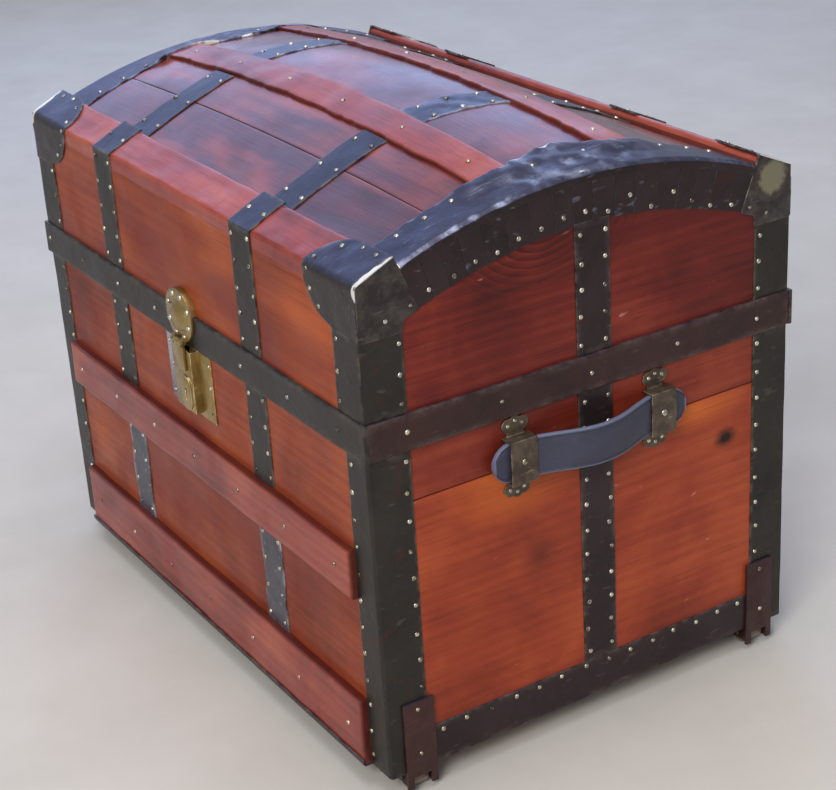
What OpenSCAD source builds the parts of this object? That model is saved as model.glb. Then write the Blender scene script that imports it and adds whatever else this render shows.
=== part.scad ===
// Dome-top travelling trunk: board case, coopered lid, sheet-metal bands, lock, handles and casters.
// Origin on the floor under the middle of the case. X runs along the length, the lock faces -Y, Z is up.

/* [Case] */
// Outer length over the end boards
trunk_length = 766; // [740:2:840]
// Outer depth over the front and back boards
trunk_depth = 530; // [520:2:544]
// Height from the underside of the case to the lid seam
body_height = 366; // [362:1:380]
// Height of the underside above the floor
floor_gap = 27; // [27:1:30]
// Thickness of the case boards
board_t = 12; // [10:0.5:13]
// Height of the joint between the two planks of each end, above the underside
end_seam_height = 309; // [290:1:330]

/* [Lid] */
// Height of the lid's side from the seam to the edge of the dome
lid_side = 166; // [160:1:180]
// Rise of the end arch above the edge of the dome
dome_rise = 62; // [58:1:68]
// Extra rise of the dome at the middle of its length
crown_rise = 27; // [0:1:30]
// Thickness of the dome staves
stave_t = 10; // [8:0.5:12]
// Angle where the outer slats end and the crown begins
shoulder_angle = 21.4; // [20:0.2:22]
// Distance of the stave joints from the middle line
stave_joint_y = 152; // [140:1:160]

/* [Slats] */
// Width of the two upper dome slats
dome_slat_w = 43; // [36:1:50]
// Distance of each upper dome slat's centre from the middle line
dome_slat_y = 77; // [70:1:90]
// Thickness of the two outer dome slats
dome_slat_t = 12; // [8:0.5:14]
// Thickness of the two upper dome slats
upper_slat_t = 5; // [4:0.5:10]
// Thickness of the front and back slats
side_slat_t = 10; // [8:0.5:12]
// Height of the bottom slat
bottom_slat_h = 78; // [60:1:90]
// Lower edge of the middle slat above the underside
mid_slat_low = 200; // [180:1:220]
// Height of the middle slat
mid_slat_h = 55; // [40:1:60]

/* [Metal bands] */
// Thickness of the sheet-metal bands
band_t = 1.6; // [1:0.1:2]
// Width of the body corner bands on the front and back
body_corner_w = 38; // [30:1:50]
// Width of the lid corner bands on the front and back
lid_corner_w = 47; // [40:1:55]
// Width of the corner bands on the ends
end_corner_w = 47; // [40:1:55]
// Height of the rim band around the lid
rim_h = 39; // [30:1:45]
// Thickness of the rim band
rim_t = 5; // [4:0.5:6]
// Width of the arch band, both down the end and over the dome
arch_band_w = 50; // [40:1:55]
// Height of the band along the foot of each end
foot_band_h = 45; // [35:1:55]
// Width of the upright band in the middle of each end
end_band_w = 43; // [35:1:50]
// Sideways place of that band
end_band_y = 6; // [-10:1:10]
// Width of the straps on the front, the dome and the back
strap_w = 45; // [35:1:50]
// Place of the left straps along the length
strap_left_x = -180; // [-190:1:-160]
// Place of the right straps along the length
strap_right_x = 158; // [150:1:180]
// Length of the top of each corner cap
cap_len = 97; // [80:1:110]

/* [Lock] */
// Place of the lock along the length
lock_x = 0; // [-12:1:12]
// Width of the lock plate
lock_plate_w = 108; // [90:1:112]
// Height of the lock plate
lock_plate_h = 80; // [70:1:85]
// Width of the raised lock case
lock_case_w = 46; // [40:1:56]
// Depth of the raised lock case
lock_case_t = 9; // [9:0.5:10]

/* [Handles] */
// Length of the leather strap from tip to tip
handle_len = 245; // [235:1:255]
// Height of the leather strap
handle_h = 44; // [38:1:44]
// Thickness of the leather
handle_t = 6; // [5:0.5:7]
// Distance between the two loops
handle_span = 178; // [170:1:184]
// How far the strap bows out between the loops
handle_bow = 23; // [18:1:28]
// Sideways place of the handle
handle_y = -6; // [-10:1:10]

/* [Casters] */
// Roller diameter
roller_d = 25; // [22:0.5:25]
// Roller width
roller_w = 23; // [18:0.5:23]
// Distance of each caster's middle from the middle line
caster_y = 230; // [225:1:232]

/* [Nails] */
// Usual distance between nails
nail_pitch = 30; // [25:1:45]

/* [Hidden] */

half_l = trunk_length / 2;
half_d = trunk_depth / 2;
inner_l = half_l - board_t;
inner_d = half_d - board_t;
seam_gap = 0.5;
seam_z = floor_gap + body_height;
body_top = seam_z - seam_gap;
rim_top = seam_z + rim_h;
edge_z = seam_z + lid_side;
arch_r = (half_d * half_d + dome_rise * dome_rise) / (2 * dome_rise);
arch_z = edge_z + dome_rise - arch_r;
edge_angle = asin(half_d / arch_r);
shoulder_y = arch_r * sin(shoulder_angle);
joint_angle = asin(stave_joint_y / arch_r);
slat_mid_angle = asin(dome_slat_y / arch_r);
slat_low_angle = asin((dome_slat_y - dome_slat_w / 2) / arch_r);
slat_high_angle = asin((dome_slat_y + dome_slat_w / 2) / arch_r);
seat = 0.4;                       // gap under pieces that lie on the dome
nail_seat = 0.2;                  // gap under nails on the curved dome
arch_inner = arch_r - arch_band_w;
flange_x = half_l - arch_band_w;
slat_x = flange_x - 1;

// The outer slats' sloping top, from the front edge up to the shoulder
slope_low = [-half_d, edge_z + dome_slat_t];
slope_high = [-(arch_r + dome_slat_t) * sin(shoulder_angle),
    arch_z + (arch_r + dome_slat_t) * cos(shoulder_angle)];
slope_run = slope_high - slope_low;
slope_angle = atan2(slope_run[1], slope_run[0]);
slope_len = norm(slope_run);

hinge_y = half_d + 4.5;
hinge_x = 250;
hinge_len = 60;
hinge_r = 4.4;
hinge_pin_r = 2;
leaf_h = 36;
leaf_t = 1.6;
running_gap = 0.05;

roller_x = half_l - 15;
roller_z = roller_d / 2;
axle_r = 2.5;
ear_t = 2.5;
ear_gap = 0.6;
ear_y = roller_w / 2 + ear_gap;
bracket_t = 3;
bracket_w = 37;
bracket_h = 84;
bracket_drop = 20;
bracket_x = half_l + band_t;

handle_z = floor_gap + 319.5;
loop_w = 32;
loop_out = 17;
loop_sheet = 1.6;
loop_half = handle_h / 2 + 2.2;
loop_foot = 45.5;
rivet_r = 2;
handle_seat = 9;

rim_face = half_d + rim_t;
hasp_axis_y = -(rim_face + 7);
hasp_axis_z = floor_gap + 371;
hasp_pin_r = 1.5;
hasp_barrel_r = 3.2;
hasp_arm_w = 26;
hasp_arm_t = 3;
hasp_arm_back = hasp_axis_y + 1;
hasp_low = floor_gap + 338;
head_r = 31;
head_z = floor_gap + 400;
head_t = 3;
case_face = -(half_d + 1.5 + lock_case_t);
case_low = floor_gap + 288;
case_top = floor_gap + 362;
notch_w = 9;
bolt_r = 2;
bolt_y = case_face + 4.6;
bolt_z = floor_gap + 346.5;
bolt_len = 14;
boss_z = floor_gap + 311;

wood_dark = [0.40, 0.14, 0.10];
wood_front = [0.62, 0.28, 0.16];
wood_slat = [0.52, 0.18, 0.14];
band_metal = [0.20, 0.18, 0.17];
nail_metal = [0.80, 0.74, 0.58];
brass = [0.52, 0.46, 0.24];
leather = [0.26, 0.27, 0.36];

// ---------- shared geometry ----------

module along_x(x0, x1) translate([x0, 0, 0]) rotate([90, 0, 90]) linear_extrude(x1 - x0) children();

module along_y(y0, y1) translate([0, y1, 0]) rotate([90, 0, 0]) linear_extrude(y1 - y0) children();

module block(low, high) translate(low) cube(high - low);

module pin_x(r, x0, x1, y, z) translate([x0, y, z]) rotate([0, 90, 0]) cylinder(r = r, h = x1 - x0, $fn = 32);

module pin_y(r, y0, y1, x, z) translate([x, y1, z]) rotate([90, 0, 0]) cylinder(r = r, h = y1 - y0, $fn = 32);

// Copies a piece drawn at the front right corner to all four corners
module at_corners() {
    for (flip_x = [0, 1])
        for (flip_y = [0, 1])
            mirror([flip_x, 0, 0]) mirror([0, flip_y, 0]) children();
}

module at_both_ends() {
    for (flip_x = [0, 1])
        mirror([flip_x, 0, 0]) children();
}

module front_and_back() {
    for (flip_y = [0, 1])
        mirror([0, flip_y, 0]) children();
}

// Height added to the arch by the lengthwise crown
function crown(x, a) =
    crown_rise * max(0, 1 - pow(x / half_l, 2)) * pow(max(0, 1 - pow(a / shoulder_angle, 2)), 1.5);

// Point over the dome at length x and arch angle a, at height t above the staves' outer face
function dome_point(x, a, t) = [x, (arch_r + t) * sin(a), arch_z + (arch_r + t) * cos(a) + crown(x, a)];

function quad(p, q, r, s) = [[p, q, r], [p, r, s]];

// Curved plate that follows the dome, from height t0 to height t1
module dome_plate(x0, x1, a0, a1, t0, t1, nx, na) {
    row = na + 1;
    layer = (nx + 1) * row;
    points = [for (t = [t0, t1]) for (i = [0 : nx]) for (j = [0 : na])
        dome_point(x0 + (x1 - x0) * i / nx, a0 + (a1 - a0) * j / na, t)];
    quads = concat(
        [for (i = [0 : nx - 1]) for (j = [0 : na - 1]) let (k = layer + i * row + j)
            quad(k, k + 1, k + row + 1, k + row)],
        [for (i = [0 : nx - 1]) for (j = [0 : na - 1]) let (k = i * row + j)
            quad(k, k + row, k + row + 1, k + 1)],
        [for (i = [0 : nx - 1]) let (k = i * row)
            quad(k, k + layer, k + row + layer, k + row)],
        [for (i = [0 : nx - 1]) let (k = i * row + na)
            quad(k + row, k + row + layer, k + layer, k)],
        [for (j = [0 : na - 1]) quad(j + 1, j + 1 + layer, j + layer, j)],
        [for (j = [0 : na - 1]) let (k = nx * row + j)
            quad(k, k + layer, k + 1 + layer, k + 1)]);
    polyhedron(points, [for (pair = quads) for (face = pair) face]);
}

// Disc of the arch circle, drawn in the Y-Z plane
module arch_disc(r) translate([0, arch_z]) circle(r = r, $fn = 180);

// ---------- case ----------

module body_bottom_board() color(wood_dark)
    block([-inner_l, -inner_d, floor_gap], [inner_l, inner_d, floor_gap + board_t]);

module body_side_board() block([-half_l, -half_d, floor_gap], [half_l, -inner_d, body_top]);

module body_front_board() color(wood_front) body_side_board();

module body_back_board() color(wood_front) mirror([0, 1, 0]) body_side_board();

module body_end_plank(z0, z1) block([inner_l, -inner_d, z0], [half_l, inner_d, z1]);

module body_end_right_lower() color(wood_front) body_end_plank(floor_gap, floor_gap + end_seam_height);

module body_end_right_upper() color(wood_dark) body_end_plank(floor_gap + end_seam_height, body_top);

module body_end_left_lower() mirror([1, 0, 0]) body_end_right_lower();

module body_end_left_upper() mirror([1, 0, 0]) body_end_right_upper();

// Slat along the front with its outer edges chamfered
module side_slat(z0, z1) {
    chamfer = 2.5;
    face = -half_d - side_slat_t;
    reach = half_l - body_corner_w;
    along_x(-reach, reach)
        polygon([[-half_d, z0], [face + chamfer, z0], [face, z0 + chamfer],
            [face, z1 - chamfer], [face + chamfer, z1], [-half_d, z1]]);
}

module front_mid_slat() color(wood_slat)
    side_slat(floor_gap + mid_slat_low, floor_gap + mid_slat_low + mid_slat_h);

module front_bottom_slat() color(wood_slat) side_slat(floor_gap, floor_gap + bottom_slat_h);

module back_mid_slat() mirror([0, 1, 0]) front_mid_slat();

module back_bottom_slat() mirror([0, 1, 0]) front_bottom_slat();

// Angle band around the front right corner
module corner_angle(side_w, z0, z1) {
    block([half_l - side_w, -half_d - band_t, z0], [half_l + band_t, -half_d, z1]);
    block([half_l, -half_d - band_t, z0], [half_l + band_t, -half_d + end_corner_w, z1]);
}

module body_corner_bands() color(band_metal)
    at_corners() corner_angle(body_corner_w, floor_gap, body_top);

module end_band_flat(z0, z1)
    block([half_l, end_band_y - end_band_w / 2, z0], [half_l + band_t, end_band_y + end_band_w / 2, z1]);

module body_end_bands() color(band_metal)
    at_both_ends() end_band_flat(floor_gap + foot_band_h, body_top);

// Foot bands of the ends, and the angles under the bottom slats
module body_foot_bands() color(band_metal) {
    inner_y = half_d - end_corner_w;
    reach = half_l - body_corner_w;
    lip = 7;
    under_w = 30;
    face = -half_d - side_slat_t;
    at_both_ends() block([half_l, -inner_y, floor_gap], [half_l + band_t, inner_y, floor_gap + foot_band_h]);
    front_and_back() {
        block([-reach, face - band_t, floor_gap - band_t], [reach, face, floor_gap + lip]);
        block([-reach, face - band_t, floor_gap - band_t], [reach, face + under_w, floor_gap]);
    }
}

module strap_flat(x, z0, z1) block([x - strap_w / 2, -half_d - band_t, z0], [x + strap_w / 2, -half_d, z1]);

module body_straps() color(band_metal)
    front_and_back()
        for (x = [strap_left_x, strap_right_x]) {
            strap_flat(x, floor_gap + bottom_slat_h, floor_gap + mid_slat_low);
            strap_flat(x, floor_gap + mid_slat_low + mid_slat_h, body_top);
        }

// ---------- lock and hasp ----------

module lock_plate() color(brass)
    block([lock_x - lock_plate_w / 2, -half_d - 1.5, seam_z - 3 - lock_plate_h],
        [lock_x + lock_plate_w / 2, -half_d, seam_z - 3]);

module lock_case() color(brass) {
    boss_r = 13;
    boss_half = 8;
    boss_t = 3;
    boss_x = lock_x + 8;
    difference() {
        union() {
            block([lock_x - lock_case_w / 2, case_face, case_low],
                [lock_x + lock_case_w / 2, -half_d - 1.5, case_top]);
            along_y(case_face - boss_t, case_face + 1) {
                for (side = [-1, 1])
                    translate([boss_x, boss_z + side * boss_half]) circle(r = boss_r, $fn = 48);
                translate([boss_x - boss_r, boss_z - boss_half]) square([2 * boss_r, 2 * boss_half]);
            }
        }
        // open notch that takes the staple
        block([lock_x - notch_w / 2, case_face - 1, hasp_low + 0.5],
            [lock_x + notch_w / 2, case_face + 8.4, case_top + 1]);
        // guide bore of the bolt
        pin_x(bolt_r + running_gap, lock_x, lock_x + 20.5, bolt_y, bolt_z);
        // keyhole
        pin_y(2.5, case_face - boss_t - 1, case_face + 6, boss_x, boss_z + 3);
        block([boss_x - 1.2, case_face - boss_t - 1, boss_z - 9], [boss_x + 1.2, case_face + 6, boss_z + 3]);
    }
}

module lock_bolt() color(brass)
    pin_x(bolt_r, lock_x + notch_w / 2 + 1, lock_x + notch_w / 2 + 1 + bolt_len, bolt_y, bolt_z);

// Round head of the hasp, nailed over the rim band
module hasp_plate() color(brass) {
    knuckle_in = 8;
    knuckle_out = hasp_arm_w / 2;
    difference() {
        union() {
            pin_y(head_r, -rim_face - head_t, -rim_face, lock_x, head_z);
            intersection() {
                pin_y(head_r, -rim_face - 1, -half_d, lock_x, head_z);
                block([lock_x - head_r, -rim_face - 1, rim_top + 0.2],
                    [lock_x + head_r, -half_d, head_z + head_r]);
            }
            for (side = [-1, 1]) {
                x0 = lock_x + min(side * knuckle_in, side * knuckle_out);
                x1 = lock_x + max(side * knuckle_in, side * knuckle_out);
                pin_x(hasp_barrel_r, x0, x1, hasp_axis_y, hasp_axis_z);
                block([x0, hasp_axis_y, hasp_axis_z], [x1, -rim_face - 0.4, hasp_axis_z + 6]);
            }
            head_beads();
        }
        pin_x(hasp_pin_r + running_gap, lock_x - 20, lock_x + 20, hasp_axis_y, hasp_axis_z);
    }
}

// Ring of beads and a raised middle on the hasp head
module head_beads() {
    beads = 8;
    for (i = [0 : beads - 1])
        rotate_bead(360 * (i + 0.5) / beads, head_r - 6);
    translate([lock_x, -rim_face - head_t + 1, head_z]) rotate([90, 0, 0])
        cylinder(r1 = 19, r2 = 11, h = 5.5, $fn = 64);
}

module rotate_bead(a, r)
    translate([lock_x + r * cos(a), -rim_face - head_t, head_z + r * sin(a)])
        rotate([90, 0, 0]) cylinder(r1 = 3, r2 = 1.4, h = 1.8, $fn = 24);

module hasp() color(brass) {
    neck = 7.6;
    eye_r = 2.5;
    difference() {
        union() {
            pin_x(hasp_barrel_r, lock_x - neck, lock_x + neck, hasp_axis_y, hasp_axis_z);
            block([lock_x - neck, hasp_arm_back - hasp_arm_t, hasp_axis_z - 5],
                [lock_x + neck, hasp_arm_back, hasp_axis_z]);
            block([lock_x - hasp_arm_w / 2, hasp_arm_back - hasp_arm_t, hasp_low],
                [lock_x + hasp_arm_w / 2, hasp_arm_back, hasp_axis_z - 4.2]);
            block([lock_x - 1.5, hasp_arm_back - 1, bolt_z - 6],
                [lock_x + 1.5, case_face + 7.7, bolt_z + 5.5]);
        }
        pin_x(hasp_pin_r + running_gap, lock_x - 20, lock_x + 20, hasp_axis_y, hasp_axis_z);
        pin_x(eye_r, lock_x - 3, lock_x + 3, bolt_y, bolt_z);
    }
}

module hasp_pin() color(band_metal)
    pin_x(hasp_pin_r, lock_x - hasp_arm_w / 2 - 0.5, lock_x + hasp_arm_w / 2 + 0.5, hasp_axis_y, hasp_axis_z);

// ---------- handles ----------

// How far the strap's middle surface stands off the end board at distance s from its centre
function bow(s) =
    handle_seat + handle_bow * pow(cos(90 * min(1, abs(s) / (handle_span / 2 + 4))), 2);

module handle_right() color(leather) {
    steps = 24;
    half = handle_len / 2;
    tip_r = handle_h / 2;
    stations = [for (i = [-steps : steps]) half * i / steps];
    outline = concat(
        [for (s = stations) [half_l + bow(s) - handle_t / 2, handle_y + s]],
        [for (i = [len(stations) - 1 : -1 : 0])
            [half_l + bow(stations[i]) + handle_t / 2, handle_y + stations[i]]]);
    difference() {
        intersection() {
            translate([0, 0, handle_z - tip_r]) linear_extrude(2 * tip_r) polygon(outline);
            along_x(half_l, half_l + 60) {
                for (side = [-1, 1])
                    translate([handle_y + side * (half - tip_r), handle_z]) circle(r = tip_r, $fn = 64);
                translate([handle_y - half + tip_r, handle_z - tip_r])
                    square([2 * (half - tip_r), 2 * tip_r]);
            }
        }
        for (side = [-1, 1])
            pin_x(rivet_r + 0.1, half_l, half_l + 40, handle_y + side * handle_span / 2, handle_z);
    }
}

module handle_left() mirror([1, 0, 0]) handle_right();

// Sheet loop over the strap, with three-lobed nailed feet above and below
module handle_loop(y) {
    lobe_r = 7.5;
    difference() {
        union() {
            for (side = [-1, 1]) {
                leg = handle_z + side * loop_half;
                block([half_l, y - loop_w / 2, min(leg, leg - side * loop_sheet)],
                    [half_l + loop_out, y + loop_w / 2, max(leg, leg - side * loop_sheet)]);
                block([half_l, y - 10, min(leg, leg + side * 8)],
                    [half_l + loop_sheet, y + 10, max(leg, leg + side * 8)]);
                for (lobe = [[-8.5, 11.5], [8.5, 11.5], [0, loop_foot - loop_half - lobe_r]])
                    pin_x(lobe_r, half_l, half_l + loop_sheet, y + lobe[0],
                        handle_z + side * (loop_half + lobe[1]));
            }
            block([half_l + loop_out - loop_sheet, y - loop_w / 2, handle_z - loop_half],
                [half_l + loop_out, y + loop_w / 2, handle_z + loop_half]);
        }
        pin_x(rivet_r + 0.1, half_l + 5, half_l + 40, y, handle_z);
    }
}

module handle_loops() color(brass)
    at_both_ends()
        for (side = [-1, 1])
            handle_loop(handle_y + side * handle_span / 2);

module handle_rivets() color(nail_metal)
    at_both_ends()
        for (side = [-1, 1]) {
            y = handle_y + side * handle_span / 2;
            pin_x(rivet_r, half_l, half_l + loop_out + 0.5, y, handle_z);
            translate([half_l + loop_out, y, handle_z]) rotate([0, 90, 0])
                cylinder(r1 = 4, r2 = 2, h = 1.8, $fn = 24);
        }

// ---------- hinges ----------

module leaf_knuckles(spans) {
    for (span = spans)
        pin_x(hinge_r, span[0], span[1], hinge_y, seam_z);
}

module hinge_bore(x) pin_x(hinge_pin_r + running_gap, x - hinge_len, x + hinge_len, hinge_y, seam_z);

module hinge_body_leaves() color(band_metal) {
    mid = 9.8;
    clear = 5;
    for (x = [-hinge_x, hinge_x])
        difference() {
            union() {
                leaf_knuckles([[x - mid, x + mid]]);
                block([x - mid, half_d, seam_z - leaf_h], [x + mid, half_d + leaf_t, seam_z]);
                block([x - hinge_len / 2, half_d, seam_z - leaf_h],
                    [x + hinge_len / 2, half_d + leaf_t, seam_z - clear]);
            }
            hinge_bore(x);
        }
}

module hinge_lid_leaves() color(band_metal) {
    inner = 10.2;
    outer = hinge_len / 2;
    clear = 5;
    for (x = [-hinge_x, hinge_x])
        difference() {
            union() {
                leaf_knuckles([[x - outer, x - inner], [x + inner, x + outer]]);
                for (span = [[x - outer, x - inner], [x + inner, x + outer]])
                    block([span[0], half_d, seam_z], [span[1], half_d + leaf_t, seam_z + leaf_h]);
                block([x - outer, half_d, seam_z + clear], [x + outer, half_d + leaf_t, seam_z + leaf_h]);
            }
            hinge_bore(x);
        }
}

module hinge_pins() color(nail_metal)
    for (x = [-hinge_x, hinge_x])
        pin_x(hinge_pin_r, x - hinge_len / 2 - 0.5, x + hinge_len / 2 + 0.5, hinge_y, seam_z);

// ---------- casters ----------

// Bracket at the front right corner: face plate, plate under the case and two ears
module caster_bracket() {
    inner_x = roller_x - 15;
    outer_x = bracket_x + bracket_t;
    low = floor_gap - bracket_drop;
    window_r = 11;
    difference() {
        union() {
            block([bracket_x, -caster_y - bracket_w / 2, low],
                [outer_x, -caster_y + bracket_w / 2, floor_gap + bracket_h]);
            block([inner_x, -caster_y - ear_y - ear_t, floor_gap - band_t],
                [outer_x, -caster_y + ear_y + ear_t, floor_gap]);
            for (side = [-1, 1]) {
                face = -caster_y + side * ear_y;
                block([inner_x, min(face, face + side * ear_t), low],
                    [outer_x, max(face, face + side * ear_t), floor_gap]);
            }
        }
        pin_y(axle_r + running_gap, -caster_y - 30, -caster_y + 30, roller_x, roller_z);
        block([bracket_x - 1, -caster_y - window_r, low - 1],
            [outer_x + 1, -caster_y + window_r, floor_gap - 6]);
    }
}

module caster_brackets() color(band_metal) at_corners() caster_bracket();

module caster_axles() color(nail_metal)
    at_corners()
        pin_y(axle_r, -caster_y - ear_y - ear_t - 1.5, -caster_y + ear_y + ear_t + 1.5, roller_x, roller_z);

module caster_roller(side_x, side_y) color(wood_front)
    difference() {
        pin_y(roller_d / 2, side_y * caster_y - roller_w / 2, side_y * caster_y + roller_w / 2,
            side_x * roller_x, roller_z);
        pin_y(axle_r + running_gap, side_y * caster_y - 30, side_y * caster_y + 30,
            side_x * roller_x, roller_z);
    }

module caster_roller_1() caster_roller(1, -1);

module caster_roller_2() caster_roller(1, 1);

module caster_roller_3() caster_roller(-1, -1);

module caster_roller_4() caster_roller(-1, 1);

// ---------- lid ----------

module lid_side_board() {
    stave_inner = arch_r - stave_t;
    along_x(-half_l, half_l)
        polygon([[-half_d, seam_z], [-half_d, edge_z],
            [-stave_inner * sin(edge_angle), arch_z + stave_inner * cos(edge_angle)],
            [-inner_d, arch_z + sqrt(pow(stave_inner - 0.5, 2) - pow(inner_d, 2))],
            [-inner_d, seam_z]]);
}

module lid_front_board() color(wood_front) lid_side_board();

module lid_back_board() color(wood_front) mirror([0, 1, 0]) lid_side_board();

module lid_end_right() color(wood_dark)
    along_x(inner_l, half_l)
        intersection() {
            arch_disc(arch_r - stave_t - 0.5);
            translate([-inner_d, seam_z]) square([2 * inner_d, arch_r]);
        }

module lid_end_left() mirror([1, 0, 0]) lid_end_right();

module stave(a0, a1, na) color(wood_dark) dome_plate(-half_l, half_l, a0, a1, -stave_t, 0, 16, na);

module lid_stave_1() stave(-edge_angle, -joint_angle, 14);

module lid_stave_2() stave(-joint_angle, -slat_mid_angle, 6);

module lid_stave_3() stave(-slat_mid_angle, slat_mid_angle, 10);

module lid_stave_4() stave(slat_mid_angle, joint_angle, 6);

module lid_stave_5() stave(joint_angle, edge_angle, 14);

// Slat along the dome's front edge: sloping top, flush front, hollowed to fit the staves
module dome_slat_1() color(wood_slat) {
    foot_r = arch_r - 5;
    difference() {
        along_x(-half_l, half_l)
            polygon([[-half_d, edge_z - 5], slope_low, slope_high,
                [-foot_r * sin(shoulder_angle), arch_z + foot_r * cos(shoulder_angle)]]);
        translate([-half_l - 1, 0, arch_z]) rotate([0, 90, 0])
            cylinder(r = arch_r + seat, h = trunk_length + 2, $fn = 180);
    }
}

module dome_slat_4() mirror([0, 1, 0]) dome_slat_1();

module upper_dome_slat(a0, a1) color(wood_slat)
    dome_plate(-slat_x, slat_x, a0, a1, seat, seat + upper_slat_t, 16, 4);

module dome_slat_2() upper_dome_slat(-slat_high_angle, -slat_low_angle);

module dome_slat_3() upper_dome_slat(slat_low_angle, slat_high_angle);

module lid_corner_bands() color(band_metal)
    at_corners() {
        cap_foot = edge_z - lid_corner_w + 5;
        block([half_l - lid_corner_w, -half_d - band_t, rim_top], [half_l + band_t, -half_d, cap_foot]);
        difference() {
            block([half_l, -half_d - band_t, rim_top], [half_l + band_t, -half_d + end_corner_w, edge_z]);
            along_x(half_l - 1, half_l + band_t + 1)
                difference() {
                    arch_disc(arch_r + 40);
                    arch_disc(arch_inner);
                }
        }
    }

// Cap over the end of an outer slat: lobed top, lobed front flange and end flange
module lid_corner_caps() color(band_metal)
    at_corners() {
        lobe_r = cap_len - lid_corner_w;
        lobe_x = half_l - lid_corner_w;
        foot_r = arch_r + seat;
        cap_foot = edge_z - lid_corner_w + 5;
        translate([0, slope_low[0], slope_low[1]]) rotate([slope_angle, 0, 0])
            linear_extrude(band_t)
                intersection() {
                    union() {
                        translate([lobe_x, 0]) circle(r = slope_len, $fn = 64);
                        translate([lobe_x, 0]) square([lid_corner_w + band_t, slope_len]);
                    }
                    translate([lobe_x - lobe_r, 0]) square([cap_len + band_t, slope_len]);
                }
        along_y(-half_d - band_t, -half_d)
            intersection() {
                union() {
                    translate([lobe_x, slope_low[1]]) circle(r = lobe_r, $fn = 64);
                    translate([lobe_x, cap_foot]) square([lid_corner_w + band_t, slope_low[1] - cap_foot]);
                }
                translate([lobe_x - lobe_r, cap_foot])
                    square([cap_len + band_t, slope_low[1] - cap_foot + band_t / 2]);
            }
        along_x(half_l, half_l + band_t)
            difference() {
                polygon([[-half_d, edge_z - 5], slope_low, slope_high,
                    [-foot_r * sin(shoulder_angle), arch_z + (foot_r - 5) * cos(shoulder_angle)]]);
                arch_disc(foot_r);
            }
    }

// Corners of the arch band's section at one place along the arch. The foot lies at angle a_foot and the rest
// at angle a; only a wide section carries the flange over the dome.
function arch_section(a_foot, a, wide) =
    let (outer_x = half_l + band_t, top = wide ? seat + band_t : 0, low = wide ? seat : -seat,
        tip_x = wide ? flange_x : half_l + 0.2)
    [dome_point(half_l, a_foot, -arch_band_w), dome_point(outer_x, a_foot, -arch_band_w),
        dome_point(outer_x, a, top), dome_point(tip_x, a, top), dome_point(tip_x, a, low),
        dome_point(half_l, a, low)];

// Arched angle band: flange down the end and, between the outer slats, flange over the dome
module lid_arch_right() color(band_metal) {
    steps = 24;
    wide_end = shoulder_angle - 0.1;
    narrow_end = shoulder_angle - 0.05;
    mid = (shoulder_angle + edge_angle) / 2;
    foot_end = asin(half_d / arch_inner);
    narrow = [[narrow_end, narrow_end], [mid, mid], [foot_end, edge_angle]];
    sections = concat(
        [for (i = [2 : -1 : 0]) arch_section(-narrow[i][0], -narrow[i][1], false)],
        [for (i = [0 : steps]) let (a = wide_end * (2 * i / steps - 1)) arch_section(a, a, true)],
        [for (pair = narrow) arch_section(pair[0], pair[1], false)]);
    count = len(sections);
    sides = [for (i = [0 : count - 2]) for (k = [0 : 5])
        let (n = (k + 1) % 6) quad(6 * i + k, 6 * i + n, 6 * i + 6 + n, 6 * i + 6 + k)];
    last = 6 * (count - 1);
    polyhedron([for (section = sections) for (point = section) point],
        concat([for (pair = sides) for (face = pair) face],
            [[0, 5, 4], [0, 4, 2], [4, 3, 2], [0, 2, 1]],
            [[last, last + 4, last + 5], [last, last + 2, last + 4], [last + 4, last + 2, last + 3],
                [last, last + 1, last + 2]]));
}

module lid_arch_left() mirror([1, 0, 0]) lid_arch_right();

module lid_end_bands() color(band_metal)
    at_both_ends()
        intersection() {
            end_band_flat(rim_top, edge_z + dome_rise);
            along_x(half_l, half_l + band_t) arch_disc(arch_inner - 0.4);
        }

module lid_rim_front() color(band_metal)
    block([-half_l - rim_t, -rim_face, seam_z], [half_l + rim_t, -half_d, rim_top]);

// Back rim band in three lengths, leaving the hinges free
module lid_rim_back() color(band_metal) {
    gap = hinge_len / 2 + 1.5;
    for (span = [[-half_l - rim_t, -hinge_x - gap], [-hinge_x + gap, hinge_x - gap],
            [hinge_x + gap, half_l + rim_t]])
        block([span[0], half_d, seam_z], [span[1], rim_face, rim_top]);
}

module lid_rim_ends() color(band_metal)
    at_both_ends() block([half_l, -half_d, seam_z], [half_l + rim_t, half_d, rim_top]);

module lid_straps() color(band_metal)
    front_and_back()
        for (x = [strap_left_x, strap_right_x])
            strap_flat(x, rim_top, slope_low[1]);

// Cross straps between the slats, and the clamps over the outer slats
module dome_straps() color(band_metal)
    for (x = [strap_left_x, strap_right_x]) {
        x0 = x - strap_w / 2;
        x1 = x + strap_w / 2;
        for (span = [[-shoulder_angle + 0.1, -slat_high_angle], [-slat_low_angle, slat_low_angle],
                [slat_high_angle, shoulder_angle - 0.1]])
            dome_plate(x0, x1, span[0], span[1], seat, seat + band_t, 2, 16);
        front_and_back()
            translate([x0, slope_low[0], slope_low[1]]) rotate([slope_angle, 0, 0])
                cube([strap_w, slope_len, band_t]);
    }

// ---------- nails ----------

module nail() cylinder(r1 = 3.2, r2 = 1.5, h = 1.7, $fn = 16);

module small_nail() cylinder(r1 = 2.4, r2 = 1.2, h = 1.4, $fn = 16);

// Nails spread evenly from one point to another
module nail_row(from, to) {
    count = max(1, round(norm(to - from) / nail_pitch));
    for (i = [0 : count])
        translate(from + (to - from) * i / count) children();
}

module front_nail() rotate([90, 0, 0]) nail();

module end_nail() rotate([0, 90, 0]) nail();

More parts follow.
